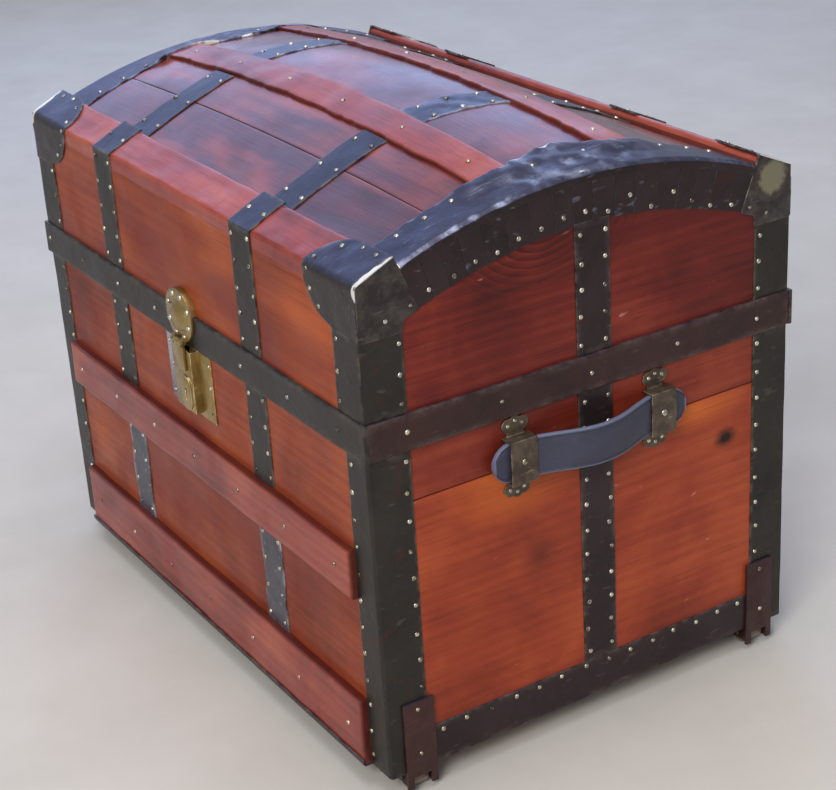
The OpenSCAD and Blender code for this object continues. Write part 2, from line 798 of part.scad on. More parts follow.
module front_rows(x, z0, z1) {
    inset = 6;
    for (side = [-1, 1])
        nail_row([x + side * (strap_w / 2 - inset), -half_d - band_t, z0 + 10],
            [x + side * (strap_w / 2 - inset), -half_d - band_t, z1 - 10]) front_nail();
}

module end_rows(z0, z1) {
    inset = 6;
    for (side = [-1, 1]) {
        y = end_band_y + side * (end_band_w / 2 - inset);
        nail_row([half_l + band_t, y, z0 + 12], [half_l + band_t, y, z1 - 12]) end_nail();
    }
}

module body_nails() color(nail_metal) {
    side_x = half_l - body_corner_w + 6;
    side_y = -half_d + end_corner_w - 6;
    metal_y = -half_d - band_t;
    metal_x = half_l + band_t;
    slat_y = -half_d - side_slat_t;
    bracket_top = floor_gap + bracket_h + 14;
    plate_x = lock_plate_w / 2 - 6;
    at_corners() {
        nail_row([side_x, metal_y, floor_gap + 14], [side_x, metal_y, body_top - 12]) front_nail();
        nail_row([metal_x, side_y, bracket_top], [metal_x, side_y, body_top - 12]) end_nail();
        for (z = [floor_gap + 20, floor_gap + bracket_h - 10])
            translate([metal_x + bracket_t, -caster_y, z]) end_nail();
    }
    at_both_ends() {
        end_rows(floor_gap + foot_band_h, body_top);
        nail_row([metal_x, 200, floor_gap + foot_band_h - 7], [metal_x, -200, floor_gap + foot_band_h - 7])
            end_nail();
        for (side = [-1, 1])
            for (up = [-1, 1])
                for (lobe = [[-8.5, 35.7], [8.5, 35.7], [0, 39.5]])
                    translate([half_l + loop_sheet, handle_y + side * handle_span / 2 + lobe[0],
                        handle_z + up * lobe[1]]) rotate([0, 90, 0]) small_nail();
    }
    front_and_back()
        for (x = [strap_left_x, strap_right_x]) {
            front_rows(x, floor_gap + bottom_slat_h, floor_gap + mid_slat_low);
            front_rows(x, floor_gap + mid_slat_low + mid_slat_h, body_top);
        }
    front_and_back()
        for (i = [-3 : 3]) {
            translate([i * 105, slat_y, floor_gap + mid_slat_low + mid_slat_h / 2]) front_nail();
            translate([i * 105, slat_y, floor_gap + bottom_slat_h / 2]) front_nail();
        }
    for (side = [-1, 1])
        for (z = [seam_z - lock_plate_h + 6, seam_z - lock_plate_h / 2, seam_z - 14])
            translate([lock_x + side * plate_x, -half_d - 1.5, z]) front_nail();
    for (x = [-hinge_x, hinge_x])
        for (side = [-1, 1])
            translate([x + side * 20, half_d + leaf_t, seam_z - 24]) rotate([-90, 0, 0]) nail();
}

// Nail standing on the dome at arch angle a, square to the crown under it
module dome_nail(x, a, t) {
    step = 0.2;
    tilt_x = atan((crown(x + step, a) - crown(x - step, a)) / (2 * step));
    tilt_a = atan((crown(x, a + step) - crown(x, a - step)) / (2 * step * arch_r * PI / 180));
    translate(dome_point(x, a, t + nail_seat)) rotate([tilt_a - a, -tilt_x, 0]) nail();
}

module lid_nails() color(nail_metal) {
    metal_y = -half_d - band_t;
    metal_x = half_l + band_t;
    side_x = half_l - lid_corner_w + 6;
    side_y = -half_d + end_corner_w - 6;
    cap_row_r = 42;
    arch_row_r = arch_inner + 8;
    arch_count = 18;
    arch_span = edge_angle - 1.5;
    cap_foot = edge_z - lid_corner_w + 5;
    at_corners() {
        nail_row([side_x, metal_y, rim_top + 12], [side_x, metal_y, cap_foot - 8]) front_nail();
        nail_row([metal_x, side_y, rim_top + 12], [metal_x, side_y, rim_top + 72]) end_nail();
        for (a = [185, 212, 240])
            translate([half_l - lid_corner_w + cap_row_r * cos(a), metal_y,
                slope_low[1] + cap_row_r * sin(a)]) front_nail();
        translate([0, slope_low[0], slope_low[1]]) rotate([slope_angle, 0, 0])
            for (spot = [[-38, 10], [-22, 32], [4, 41], [30, 41]])
                translate([half_l - lid_corner_w + spot[0], spot[1], band_t]) nail();
    }
    at_both_ends() {
        for (i = [0 : arch_count])
            translate([metal_x, arch_row_r * sin(arch_span * (2 * i / arch_count - 1)),
                arch_z + arch_row_r * cos(arch_span * (2 * i / arch_count - 1))]) end_nail();
        for (i = [-6 : 6])
            dome_nail(flange_x + 8, i * 3.1, seat + band_t);
        end_rows(rim_top, arch_z + arch_inner);
        for (i = [-2 : 2])
            translate([half_l + rim_t, i * 110, seam_z + rim_h / 2]) end_nail();
    }
    front_and_back()
        for (x = [strap_left_x, strap_right_x]) {
            front_rows(x, rim_top, slope_low[1]);
            translate([x, slope_low[0], slope_low[1]]) rotate([slope_angle, 0, 0])
                for (spot = [[-15, 24], [15, 24]])
                    translate([spot[0], spot[1], band_t]) nail();
        }
    for (i = [-3.5 : 3.5])
        if (abs(i * 102 - 18 - lock_x) > head_r + 6)
            translate([i * 102 - 18, -rim_face, seam_z + rim_h / 2]) front_nail();
    for (i = [-1.5 : 1.5])
        translate([i * 120, rim_face, seam_z + rim_h / 2]) rotate([-90, 0, 0]) nail();
    for (x = [strap_left_x, strap_right_x])
        for (side = [-1, 1])
            for (a = [-19.5, -15.3, -11, -3.6, 0, 3.6, 11, 15.3, 19.5])
                dome_nail(x + side * (strap_w / 2 - 6), a, seat + band_t);
    for (side = [-1, 1])
        for (i = [-2.5 : 2.5])
            dome_nail(i * 118, side * slat_mid_angle, seat + upper_slat_t);
    for (x = [-hinge_x, hinge_x])
        for (side = [-1, 1])
            translate([x + side * 20, half_d + leaf_t, seam_z + 24]) rotate([-90, 0, 0]) nail();
}

body_bottom_board();
body_front_board();
body_back_board();
body_end_left_lower();
body_end_left_upper();
body_end_right_lower();
body_end_right_upper();
front_mid_slat();
front_bottom_slat();
back_mid_slat();
back_bottom_slat();
body_corner_bands();
body_end_bands();
body_foot_bands();
body_straps();
body_nails();
lock_plate();
lock_case();
lock_bolt();
handle_left();
handle_right();
handle_loops();
handle_rivets();
hinge_body_leaves();
hinge_lid_leaves();
hinge_pins();
caster_brackets();
caster_axles();
caster_roller_1();
caster_roller_2();
caster_roller_3();
caster_roller_4();
lid_front_board();
lid_back_board();
lid_end_left();
lid_end_right();
lid_stave_1();
lid_stave_2();
lid_stave_3();
lid_stave_4();
lid_stave_5();
dome_slat_1();
dome_slat_2();
dome_slat_3();
dome_slat_4();
lid_corner_bands();
lid_corner_caps();
lid_arch_left();
lid_arch_right();
lid_end_bands();
lid_rim_front();
lid_rim_back();
lid_rim_ends();
lid_straps();
dome_straps();
lid_nails();
hasp_plate();
hasp();
hasp_pin();
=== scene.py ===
from math import acos, asin, cos, degrees, pi, radians, sin, sqrt, tan

import bmesh
import bpy
import numpy as np
from mathutils import Matrix, Vector
from numpy.linalg import norm


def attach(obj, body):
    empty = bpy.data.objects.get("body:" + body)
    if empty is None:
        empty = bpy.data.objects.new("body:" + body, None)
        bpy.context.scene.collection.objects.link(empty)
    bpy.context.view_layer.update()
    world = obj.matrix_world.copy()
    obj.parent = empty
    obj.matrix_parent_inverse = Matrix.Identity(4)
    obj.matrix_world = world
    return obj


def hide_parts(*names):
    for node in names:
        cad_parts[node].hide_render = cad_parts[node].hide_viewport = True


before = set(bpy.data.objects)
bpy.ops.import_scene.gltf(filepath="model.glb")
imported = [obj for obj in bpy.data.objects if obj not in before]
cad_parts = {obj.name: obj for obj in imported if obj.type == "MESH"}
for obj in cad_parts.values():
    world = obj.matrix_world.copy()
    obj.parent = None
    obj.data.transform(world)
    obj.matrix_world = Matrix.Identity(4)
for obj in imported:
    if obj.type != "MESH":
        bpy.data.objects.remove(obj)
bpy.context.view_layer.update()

# ---------- sizes in millimetres, as in the CAD ----------

HALF_L, HALF_D, BOARD_T, STAVE_T = 383.0, 265.0, 12.0, 10.0
FLOOR_Z, SEAM_Z, BODY_TOP, RIM_TOP, EDGE_Z = 27.0, 393.0, 392.5, 432.0, 559.0
INNER_D = HALF_D - BOARD_T
DOME_RISE, CROWN, SHOULDER = 62.0, 27.0, 21.4
ARCH_R = (HALF_D ** 2 + DOME_RISE ** 2) / (2 * DOME_RISE)
ARCH_Z = EDGE_Z + DOME_RISE - ARCH_R
ARCH_IN = ARCH_R - 50


def turn_to(y):
    """Degrees round the arch to a place y millimetres off its middle."""
    return degrees(asin(y / ARCH_R))


def round_arch(r, degrees):
    """Both coordinates of a place at a radius and angle about the arch's centre."""
    a = np.radians(degrees)
    return r * np.sin(a), ARCH_Z + r * np.cos(a)


EDGE_A, JOINT_A, SLAT_MID_A = turn_to(HALF_D), turn_to(152), turn_to(77)
SLAT_LOW_A, SLAT_HIGH_A = turn_to(55.5), turn_to(98.5)
SLAT_T, UPPER_SLAT_T, SIDE_SLAT_T, BAND_T, RIM_T, SEAT = 12.0, 5.0, 10.0, 1.6, 5.0, 0.4
SLOPE_LOW = np.array([-HALF_D, EDGE_Z + SLAT_T])
SLOPE_HIGH = np.array(round_arch(ARCH_R + SLAT_T, -SHOULDER))
SLOPE_LEN = float(norm(SLOPE_HIGH - SLOPE_LOW))
SLOPE_DIR = (SLOPE_HIGH - SLOPE_LOW) / SLOPE_LEN
STRAPS = (-180.0, 158.0)
STRAP_W = 45.0
STRAP_SPANS = [(x, (x - STRAP_W / 2, x + STRAP_W / 2)) for x in STRAPS]
STRAP_NAILS = [x + side * 16.5 for x in STRAPS for side in (1, -1)]
MID_SLAT = (227.0, 282.0)
LOW_SLAT = (27.0, 105.0)
END_BAND = (-15.5, 27.5)
FOOT_TOP, PLANK_Z, ANGLE_TOP, CAP_X = 72.0, 336.0, 521.0, 336.0
HANDLE_Y, HANDLE_Z, LOOP_OUT = -6.0, 346.5, 17.0
LOCK_X, HEAD_Z = 0.0, 427.0
SIDES = (1, -1)
CORNERS = [(fx, fy) for fx in SIDES for fy in SIDES]
FACES, ENDS = (("front", 1), ("back", -1)), (("right", 1), ("left", -1))
MARKS = ("edge", "inside", "plank")
rng = np.random.default_rng(11)

# ---------- noise for worn and dented surfaces ----------


def lattice(ix, iy, iz, seed):
    n = (ix * 374761393 + iy * 668265263 + iz * 1103515245 + seed * 362437) & 0xFFFFFFFF
    n = ((n ^ (n >> 13)) * 1274126177) & 0xFFFFFFFF
    n = ((n ^ (n >> 15)) * 2246822519) & 0xFFFFFFFF
    return ((n ^ (n >> 16)) & 0xFFFF) / 65535.0


def rough(points, size, seed=1):
    """Smooth noise from -1 to 1 at points, with features of that size."""
    p = np.asarray(points, float) / size
    cell = np.floor(p).astype(np.int64)
    f = p - cell
    f = f * f * (3 - 2 * f)
    total = np.zeros(p.shape[:-1])
    for corner in range(8):
        d = [(corner >> k) & 1 for k in range(3)]
        weight = np.ones(p.shape[:-1])
        for k in range(3):
            weight = weight * (f[..., k] if d[k] else 1 - f[..., k])
        total += weight * lattice(cell[..., 0] + d[0], cell[..., 1] + d[1], cell[..., 2] + d[2], seed)
    return 2 * total - 1


def wander(along, size, seed):
    """Noise along one length."""
    zero = np.zeros_like(along)
    return rough(np.stack([along, zero + seed * 37.7, zero], -1), size, seed)


# ---------- shells: closed surfaces in millimetres ----------


class Shell:
    def __init__(self, points, quads, polys=(), **marks):
        self.points = np.asarray(points, float).reshape(-1, 3)
        self.quads = np.asarray(quads, int).reshape(-1, 4)
        self.polys = [list(p) for p in polys]
        self.marks = {m: np.broadcast_to(marks.get(m, 0.0), len(self.points)).astype(float) for m in MARKS}
        if self.volume() < 0:
            self.quads = self.quads[:, ::-1]
            self.polys = [p[::-1] for p in self.polys]

    def volume(self):
        p = self.points - self.points.mean(0)
        tris = [self.quads[:, [0, 1, 2]], self.quads[:, [0, 2, 3]]]
        tris += [np.array([[q[0], q[i], q[i + 1]] for i in range(1, len(q) - 1)]) for q in self.polys]
        return sum(np.einsum("ij,ij->", p[t[:, 0]], np.cross(p[t[:, 1]], p[t[:, 2]])) for t in tris)


ROUND_AT = np.array([0, 0.15, 0.45, 1.0])


def spread(span, bevel, step):
    a, b = span
    pad = min(2.5 * bevel, 0.3 * (b - a))
    inner = np.linspace(a + pad, b - pad, max(2, int(round((b - a - 2 * pad) / step)) + 1))
    return np.concatenate([a + ROUND_AT * bevel, inner, b - ROUND_AT[::-1] * bevel])


def strip(place, u, v, top, bottom, bevel=0.6, step=8.0, warp=None, bump=0.0, size=30.0,
          plank=0.0, seed=1, raw=False, extra=None, gleam=None):
    """Slab with rounded upper edges over a grid of u and v, from height bottom to height top."""
    step_u, step_v = step if isinstance(step, tuple) else (step, step)
    grid_u, grid_v = np.meshgrid(spread(u, bevel, step_u), spread(v, bevel, step_v), indexing="ij")
    gap = np.minimum(np.minimum(grid_u - u[0], u[1] - grid_u), np.minimum(grid_v - v[0], v[1] - grid_v))
    drop = bevel * (1 - np.sqrt(1 - (1 - np.clip(gap / bevel, 0, 1)) ** 2))
    edge = 1 - np.clip(gap / (4 * bevel), 0, 1)
    if warp:
        grid_u, grid_v = warp(grid_u, grid_v)
    height = np.full(grid_u.shape, float(top)) - drop
    if bump:
        height = height + bump * rough(place(grid_u, grid_v, height), size, seed)
    if extra:
        height = height + extra(grid_u, grid_v)
    if gleam:
        edge = edge + gleam(grid_u, grid_v)
    upper = place(grid_u, grid_v, height)
    lower = place(grid_u, grid_v, np.full(grid_u.shape, float(bottom)))
    n, m = grid_u.shape
    t = np.arange(n * m).reshape(n, m)
    b = t + n * m
    quads = [np.stack(q, -1).reshape(-1, 4) for q in (
        (t[:-1, :-1], t[1:, :-1], t[1:, 1:], t[:-1, 1:]), (b[:-1, :-1], b[:-1, 1:], b[1:, 1:], b[1:, :-1]),
        (t[1:, 0], t[:-1, 0], b[:-1, 0], b[1:, 0]), (t[:-1, -1], t[1:, -1], b[1:, -1], b[:-1, -1]),
        (t[0, :-1], t[0, 1:], b[0, 1:], b[0, :-1]), (t[-1, 1:], t[-1, :-1], b[-1, :-1], b[-1, 1:]))]
    inside = np.concatenate([np.zeros(n * m), np.full(n * m, 1.0 if raw else 0.0)])
    return Shell(np.concatenate([upper.reshape(-1, 3), lower.reshape(-1, 3)]), np.concatenate(quads),
                 edge=np.concatenate([edge.ravel(), edge.ravel()]), inside=inside, plank=plank)


def loft(sections, **marks):
    """Tube through closed sections with the same number of points."""
    sections = np.asarray(sections, float)
    k, n = sections.shape[:2]
    i = np.arange(k * n).reshape(k, n)
    j = np.roll(i, -1, axis=1)
    quads = np.stack([i[:-1], j[:-1], j[1:], i[1:]], -1).reshape(-1, 4)
    return Shell(sections, quads, [i[0][::-1], i[-1]], **marks)


def inset(outline, distance):
    """A closed outline moved inwards, for an anticlockwise outline."""
    def unit(v):
        return v / (norm(v, axis=1)[:, None] + 1e-9)
    ahead = unit(np.roll(outline, -1, 0) - outline)
    behind = unit(outline - np.roll(outline, 1, 0))
    normal = unit(np.stack([-(ahead + behind)[:, 1], (ahead + behind)[:, 0]], -1))
    cosine = np.clip((normal * np.stack([-ahead[:, 1], ahead[:, 0]], -1)).sum(1), 0.4, 1)
    return outline + normal * (distance / cosine)[:, None]


def plate(place, outline, top, bottom, bevel=0.5, **marks):
    """Flat plate with any outline and rounded upper edges."""
    outline = np.asarray(outline, float)
    area = np.sum(outline[:, 0] * np.roll(outline[:, 1], -1) - np.roll(outline[:, 0], -1) * outline[:, 1])
    if area < 0:
        outline = outline[::-1]
    rings = [place(outline[:, 0], outline[:, 1], np.full(len(outline), float(bottom)))]
    for share in ROUND_AT:
        ring = inset(outline, share * bevel) if share else outline
        drop = bevel * (1 - sqrt(1 - (1 - share) ** 2))
        rings.append(place(ring[:, 0], ring[:, 1], np.full(len(ring), top - drop)))
    return loft(rings, edge=np.repeat((1, 1, 0.9, 0.7, 0.2), len(outline)), **marks)


def axis_frame(normal):
    normal = np.asarray(normal, float) / norm(normal)
    side = np.cross(normal, [0.0, 0.0, 1.0] if abs(normal[2]) < 0.9 else [0.0, 1.0, 0.0])
    side /= norm(side)
    return side, np.cross(normal, side), normal


def lathe(centre, axis, profile, around=32, **marks):
    """Surface turned about axis: profile holds radius and distance along the axis."""
    side, up, normal = axis_frame(axis)
    turn = np.linspace(0, 2 * pi, around, endpoint=False)
    rings = [np.asarray(centre) + r * (np.outer(np.cos(turn), side) + np.outer(np.sin(turn), up)) + t * normal
             for r, t in profile]
    return loft(rings, **marks)


NAIL_PROFILE = ((1.0, -0.35), (1.0, 0.05), (0.9, 0.5), (0.66, 0.84), (0.3, 1.0))


def heads(spots, radius=2.7, height=1.5, around=12, jitter=1.6):
    """Domed nail heads at spots, each a place and a direction."""
    shells = []
    for place, normal in spots:
        side, up, normal = axis_frame(normal)
        r = radius * rng.uniform(0.9, 1.08)
        h = height * rng.uniform(0.8, 1.0)
        shift = jitter * (rng.uniform(-1, 1) * side + rng.uniform(-1, 1) * up)
        lean = normal + 0.10 * (rng.uniform(-1, 1) * side + rng.uniform(-1, 1) * up)
        profile = [(r * a, h * b) for a, b in NAIL_PROFILE]
        shells.append(lathe(np.asarray(place) + shift, lean, profile, around, plank=rng.uniform(0, 9)))
    return shells


def row(start, end, normal, flip=(1, 1, 1), pitch=30.0):
    """Spots along a line at about that pitch, mirrored where flip is -1."""
    start, end = np.asarray(start, float), np.asarray(end, float)
    count = max(1, round(float(norm(end - start)) / pitch))
    return [((start + (end - start) * i / count) * flip, normal) for i in range(count + 1)]


class Path:
    """Line through corners in a plane, rounded at each, measured along its length."""

    def __init__(self, corners, radius, side):
        corners = [np.array(c, float) for c in corners]
        points, normals = [corners[0]], []
        directions = [(b - a) / norm(b - a) for a, b in zip(corners, corners[1:])]
        turned = [side * np.array([-d[1], d[0]]) for d in directions]
        normals.append(turned[0])
        for k in range(1, len(corners) - 1):
            before, after = directions[k - 1], directions[k]
            angle = acos(max(-1, min(1, float(before @ after))))
            reach = radius * tan(angle / 2)
            start, end = corners[k] - before * reach, corners[k] + after * reach
            for t in np.linspace(0, 1, 7):
                points.append((1 - t) ** 2 * start + 2 * t * (1 - t) * corners[k] + t ** 2 * end)
                normal = (1 - t) * turned[k - 1] + t * turned[k]
                normals.append(normal / norm(normal))
        points.append(corners[-1])
        normals.append(turned[-1])
        self.points, self.normals = np.array(points), np.array(normals)
        self.s = np.concatenate([[0], np.cumsum(norm(np.diff(self.points, axis=0), axis=1))])
        self.length = float(self.s[-1])

    def at(self, s, h):
        """Both coordinates of points at distance s along and height h off the line."""
        direction = self.points[-1] - self.points[-2]
        direction = direction / norm(direction)
        over = np.clip(s - self.length, 0, None)
        return [np.interp(s, self.s, self.points[:, k]) + over * direction[k]
                + h * np.interp(s, self.s, self.normals[:, k]) for k in (0, 1)]


# ---------- surfaces of the trunk ----------


def on_front(x, z, h):
    return np.stack([x, -HALF_D - h, z + 0 * x], -1)


def on_right(y, z, h):
    return np.stack([HALF_L + h, y, z + 0 * y], -1)


def crown(x, angle):
    """Extra height of the dome. The angle is in degrees."""
    across = np.clip(1 - (angle / SHOULDER) ** 2, 0, None) ** 1.5
    return CROWN * np.clip(1 - (x / HALF_L) ** 2, 0, None) * across


def dome_at(x, angle, h):
    y, z = round_arch(ARCH_R + h, angle)
    return np.stack([x + 0 * angle, y, z + crown(x, angle)], -1)


ARC = ARCH_R * pi / 180     # millimetres along the arch for one degree


def on_dome(x, arc, h):
    return dome_at(x, arc / ARC, h)


def on_slope(x, s, h):
    return np.stack([x + 0 * s, SLOPE_LOW[0] + s * SLOPE_DIR[0] - h * SLOPE_DIR[1],
                     SLOPE_LOW[1] + s * SLOPE_DIR[1] + h * SLOPE_DIR[0]], -1)


def along_x(path, start=0.0):
    """Surface that runs along x, over a path in the y and z plane."""
    def place(x, s, h):
        y, z = path.at(start + s, h)
        return np.stack([x + 0 * s, y, z], -1)
    return place


def flipped(place, flip_x=1, flip_y=1):
    return lambda u, v, h: place(u, v, h) * np.array([flip_x, flip_y, 1.0])


def wavy(span, near, far, size, seed, chip=0.0):
    """Warp that lets the two long sides of a strip wander, by near and far millimetres."""
    def warp(u, v):
        share = (v - span[0]) / (span[1] - span[0])
        low = near * wander(u, size, seed) + chip * np.clip(wander(u, 11, seed + 2), 0, 1)
        return u, v + (1 - share) ** 3 * low + share ** 3 * far * wander(u, size, seed + 5)
    return warp


# ---------- finishes ----------


WAVE_UNIT = 0.314     # scale of a wave texture with one wave to the metre


def linear(shade):
    """Linear colour of three sRGB values from 0 to 255. A socket or a linear colour stays as it is."""
    if not isinstance(shade, tuple) or len(shade) == 4:
        return shade
    return tuple((c / 255 / 12.92 if c <= 10 else ((c / 255 + 0.055) / 1.055) ** 2.4) for c in shade) + (1.0,)


def dimmed(shade, share):
    return tuple(share * c for c in linear(shade)[:3]) + (1.0,)


class Finish:
    """A node material around one Principled shader."""

    def __init__(self, name, **settings):
        self.material = bpy.data.materials.new(name)
        self.material.use_nodes = True
        self.tree = self.material.node_tree
        self.tree.nodes.clear()
        output = self.tree.nodes.new("ShaderNodeOutputMaterial")
        self.shader = self.tree.nodes.new("ShaderNodeBsdfPrincipled")
        self.tree.links.new(self.shader.outputs[0], output.inputs[0])
        for socket, value in settings.items():
            self.fill(self.shader, socket.replace("_", " "), value)
        self.place = self.node("TexCoord").outputs["Object"]
        self.plank = self.mark("plank")

    def fill(self, node, key, value):
        """A value or a link into one input."""
        if isinstance(value, bpy.types.NodeSocket):
            self.tree.links.new(value, node.inputs[key])
        else:
            node.inputs[key].default_value = value

    def node(self, kind, inputs=None, **attributes):
        node = self.tree.nodes.new("ShaderNode" + kind)
        for key, value in attributes.items():
            setattr(node, key, value)
        for key, value in (inputs or {}).items():
            self.fill(node, key, value)
        return node

    def mark(self, name):
        return self.node("Attribute", attribute_name=name, attribute_type="GEOMETRY").outputs["Fac"]

    def stretched(self, scale):
        return self.node("Mapping", {"Vector": self.place, "Scale": scale}).outputs[0]

    def noise(self, scale, detail=4.0, roughness=0.55, distortion=0.0, vector=None):
        return self.node("TexNoise", {
            "Vector": vector or self.place, "W": self.plank, "Scale": scale, "Detail": detail,
            "Roughness": roughness, "Distortion": distortion}, noise_dimensions="4D").outputs[0]

    def wave(self, vector, scale, distortion, detail, detail_scale, **attributes):
        return self.node("TexWave", {
            "Vector": vector, "Scale": scale, "Distortion": distortion, "Detail": detail,
            "Detail Scale": detail_scale}, **attributes).outputs[1]

    def ramp(self, factor, *stops):
        node = self.node("ValToRGB", {"Fac": factor})
        elements = node.color_ramp.elements
        while len(elements) < len(stops):
            elements.new(0.5)
        for element, (at, value) in zip(elements, stops):
            element.position = at
            element.color = linear(value)
        return node.outputs[0]

    def mix(self, factor, a, b):
        node = self.node("Mix", {0: factor, 6: linear(a), 7: linear(b)}, data_type="RGBA")
        return node.outputs[2]

    def math(self, operation, a, b):
        return self.node("Math", {0: a, 1: b}, operation=operation).outputs[0]

    def times(self, a, b):
        return self.math("MULTIPLY", a, b)

    def plus(self, a, *others):
        for b in others:
            a = self.math("ADD", a, b)
        return a

    def swing(self, value, size):
        """A value around 0.5 turned into one around 0, that size from end to end."""
        return self.times(self.math("SUBTRACT", value, 0.5), size)

    def vector(self, operation, a, b=None):
        node = self.node("VectorMath", {0: a} if b is None else {0: a, 1: b}, operation=operation)
        return node.outputs["Value" if operation == "LENGTH" else 0]

    def squeezed(self, centre, squeeze):
        """Places measured from a point in metres, stretched along each axis."""
        return self.vector("MULTIPLY", self.vector("SUBTRACT", self.place, centre), squeeze)

    def limits(self, value, low, high, to_low=0.0, to_high=1.0):
        return self.node("MapRange", {0: value, 1: low, 2: high, 3: to_low, 4: to_high}).outputs[0]

    def near(self, centre, reach, squeeze=(1, 1, 1)):
        """1 at a point in metres, falling to 0 at that distance."""
        return self.limits(self.vector("LENGTH", self.squeezed(centre, squeeze)), 0.0, reach, 1.0, 0.0)

    def finish(self, base, roughness, height, strength=0.4, depth=0.0006):
        bump = self.node("Bump", {"Strength": strength, "Distance": depth, "Height": height})
        for socket, value in (("Base Color", base), ("Roughness", roughness), ("Normal", bump.outputs[0])):
            self.fill(self.shader, socket, value)
        return self.material


def wood(name, dark, mid, light, along="x", gloss=0.38, coat=0.25, streak=1.0, low_glow=(),
         cathedral=None, knots=(), tint=None, level=0.3, scuffs=0.0):
    """Old varnished softwood. The grain runs along one axis of the row frame."""
    f = Finish(name, Coat_Weight=coat, Coat_Roughness=0.16, Specular_IOR_Level=level)

    def grain(long, across=1):
        """Places squeezed along the grain, so that what is drawn there comes out long."""
        return f.stretched({"x": (long, across, 1), "y": (across, long, 1)}[along])
    broad = f.noise(26, 5, 0.6, 0.8, grain(0.09))
    fine = f.noise(190, 4, 0.65, 0.3, grain(0.09))
    pores = f.noise(420, 2, 0.6, 0.0, grain(0.03))
    patches = f.noise(5.5, 4, 0.6, 0.4)
    rings = f.wave(grain(0.05, 0.7), 24.0, 9.0, 2.0, 0.7, wave_type="BANDS", bands_direction="Z")
    total = f.plus(f.times(broad, 0.55 * streak), f.times(fine, 0.14 * streak), f.times(rings, 0.07 * streak),
                   f.times(f.math("SUBTRACT", patches, 0.5 - 0.45 * (1 - streak)), 0.85))
    if cathedral:
        centre, reach, squeeze, spacing = cathedral
        arcs = f.wave(f.squeezed(centre, squeeze), WAVE_UNIT / spacing, 4.5, 3.0, 0.4, wave_type="RINGS",
                      rings_direction="X", wave_profile="SAW")
        mask = f.near(centre, reach, (squeeze[0], squeeze[1] * 0.8, squeeze[2]))
        total = f.math("SUBTRACT", total, f.times(f.times(arcs, mask), 0.5))
    base = f.ramp(total, (0.2, dark), (0.38, mid), (0.6, light))
    for glow, centre, reach, squeeze in low_glow:
        mask = f.times(f.near(centre, reach, squeeze), f.limits(broad, 0.2, 0.6, 0.4, 1.0))
        base = f.mix(mask, base, glow)
    if scuffs:
        pale = f.noise(85, 2, 0.5, 0.0, f.stretched((1, 0.5, 1)))
        base = f.mix(f.limits(pale, 0.71, 0.76, 0.0, scuffs), base, (196, 140, 124))
    base = f.mix(f.limits(pores, 0.34, 0.44, 0.4 * streak, 0.0), base, dimmed(dark, 0.35))
    for centre, size in knots:
        spot = f.plus(f.near(centre, size, (1, 0.75, 1)), f.swing(fine, 0.5))
        base = f.mix(f.limits(spot, 0.25, 0.8), base, (38, 14, 14))
    if tint:
        shade, where, low, high = tint
        base = f.mix(f.limits(f.noise(where, 3.0, 0.6, 0.5, grain(0.3)), low, high), base, shade)
    edge = f.mark("edge")
    worn = f.times(edge, f.limits(f.noise(40, 3, 0.6), 0.45, 0.7))
    base = f.mix(f.times(worn, 0.4), base, light)
    # Painted shade: where the edge mark nears 1, on side faces and edges, the wood is darkened, as the shade
    # between parts and under slat edges.
    base = f.mix(f.times(f.limits(edge, 0.75, 1.0), 0.75), base, dimmed(dark, 0.3))
    raw = f.ramp(f.plus(f.times(broad, 0.7), f.times(fine, 0.3)), (0.3, (112, 78, 50)), (0.7, (168, 128, 88)))
    inside = f.mark("inside")
    base = f.mix(f.limits(inside, 0.4, 0.6), base, raw)
    polish = f.limits(f.noise(16, 3, 0.6), 0.3, 0.7, gloss - 0.08, gloss + 0.14)
    shine = f.plus(polish, f.times(inside, 0.35))
    height = f.plus(f.times(fine, 0.6), f.times(pores, 0.5), f.times(broad, 1.4))
    return f.finish(base, shine, height, 0.5, 0.0009)


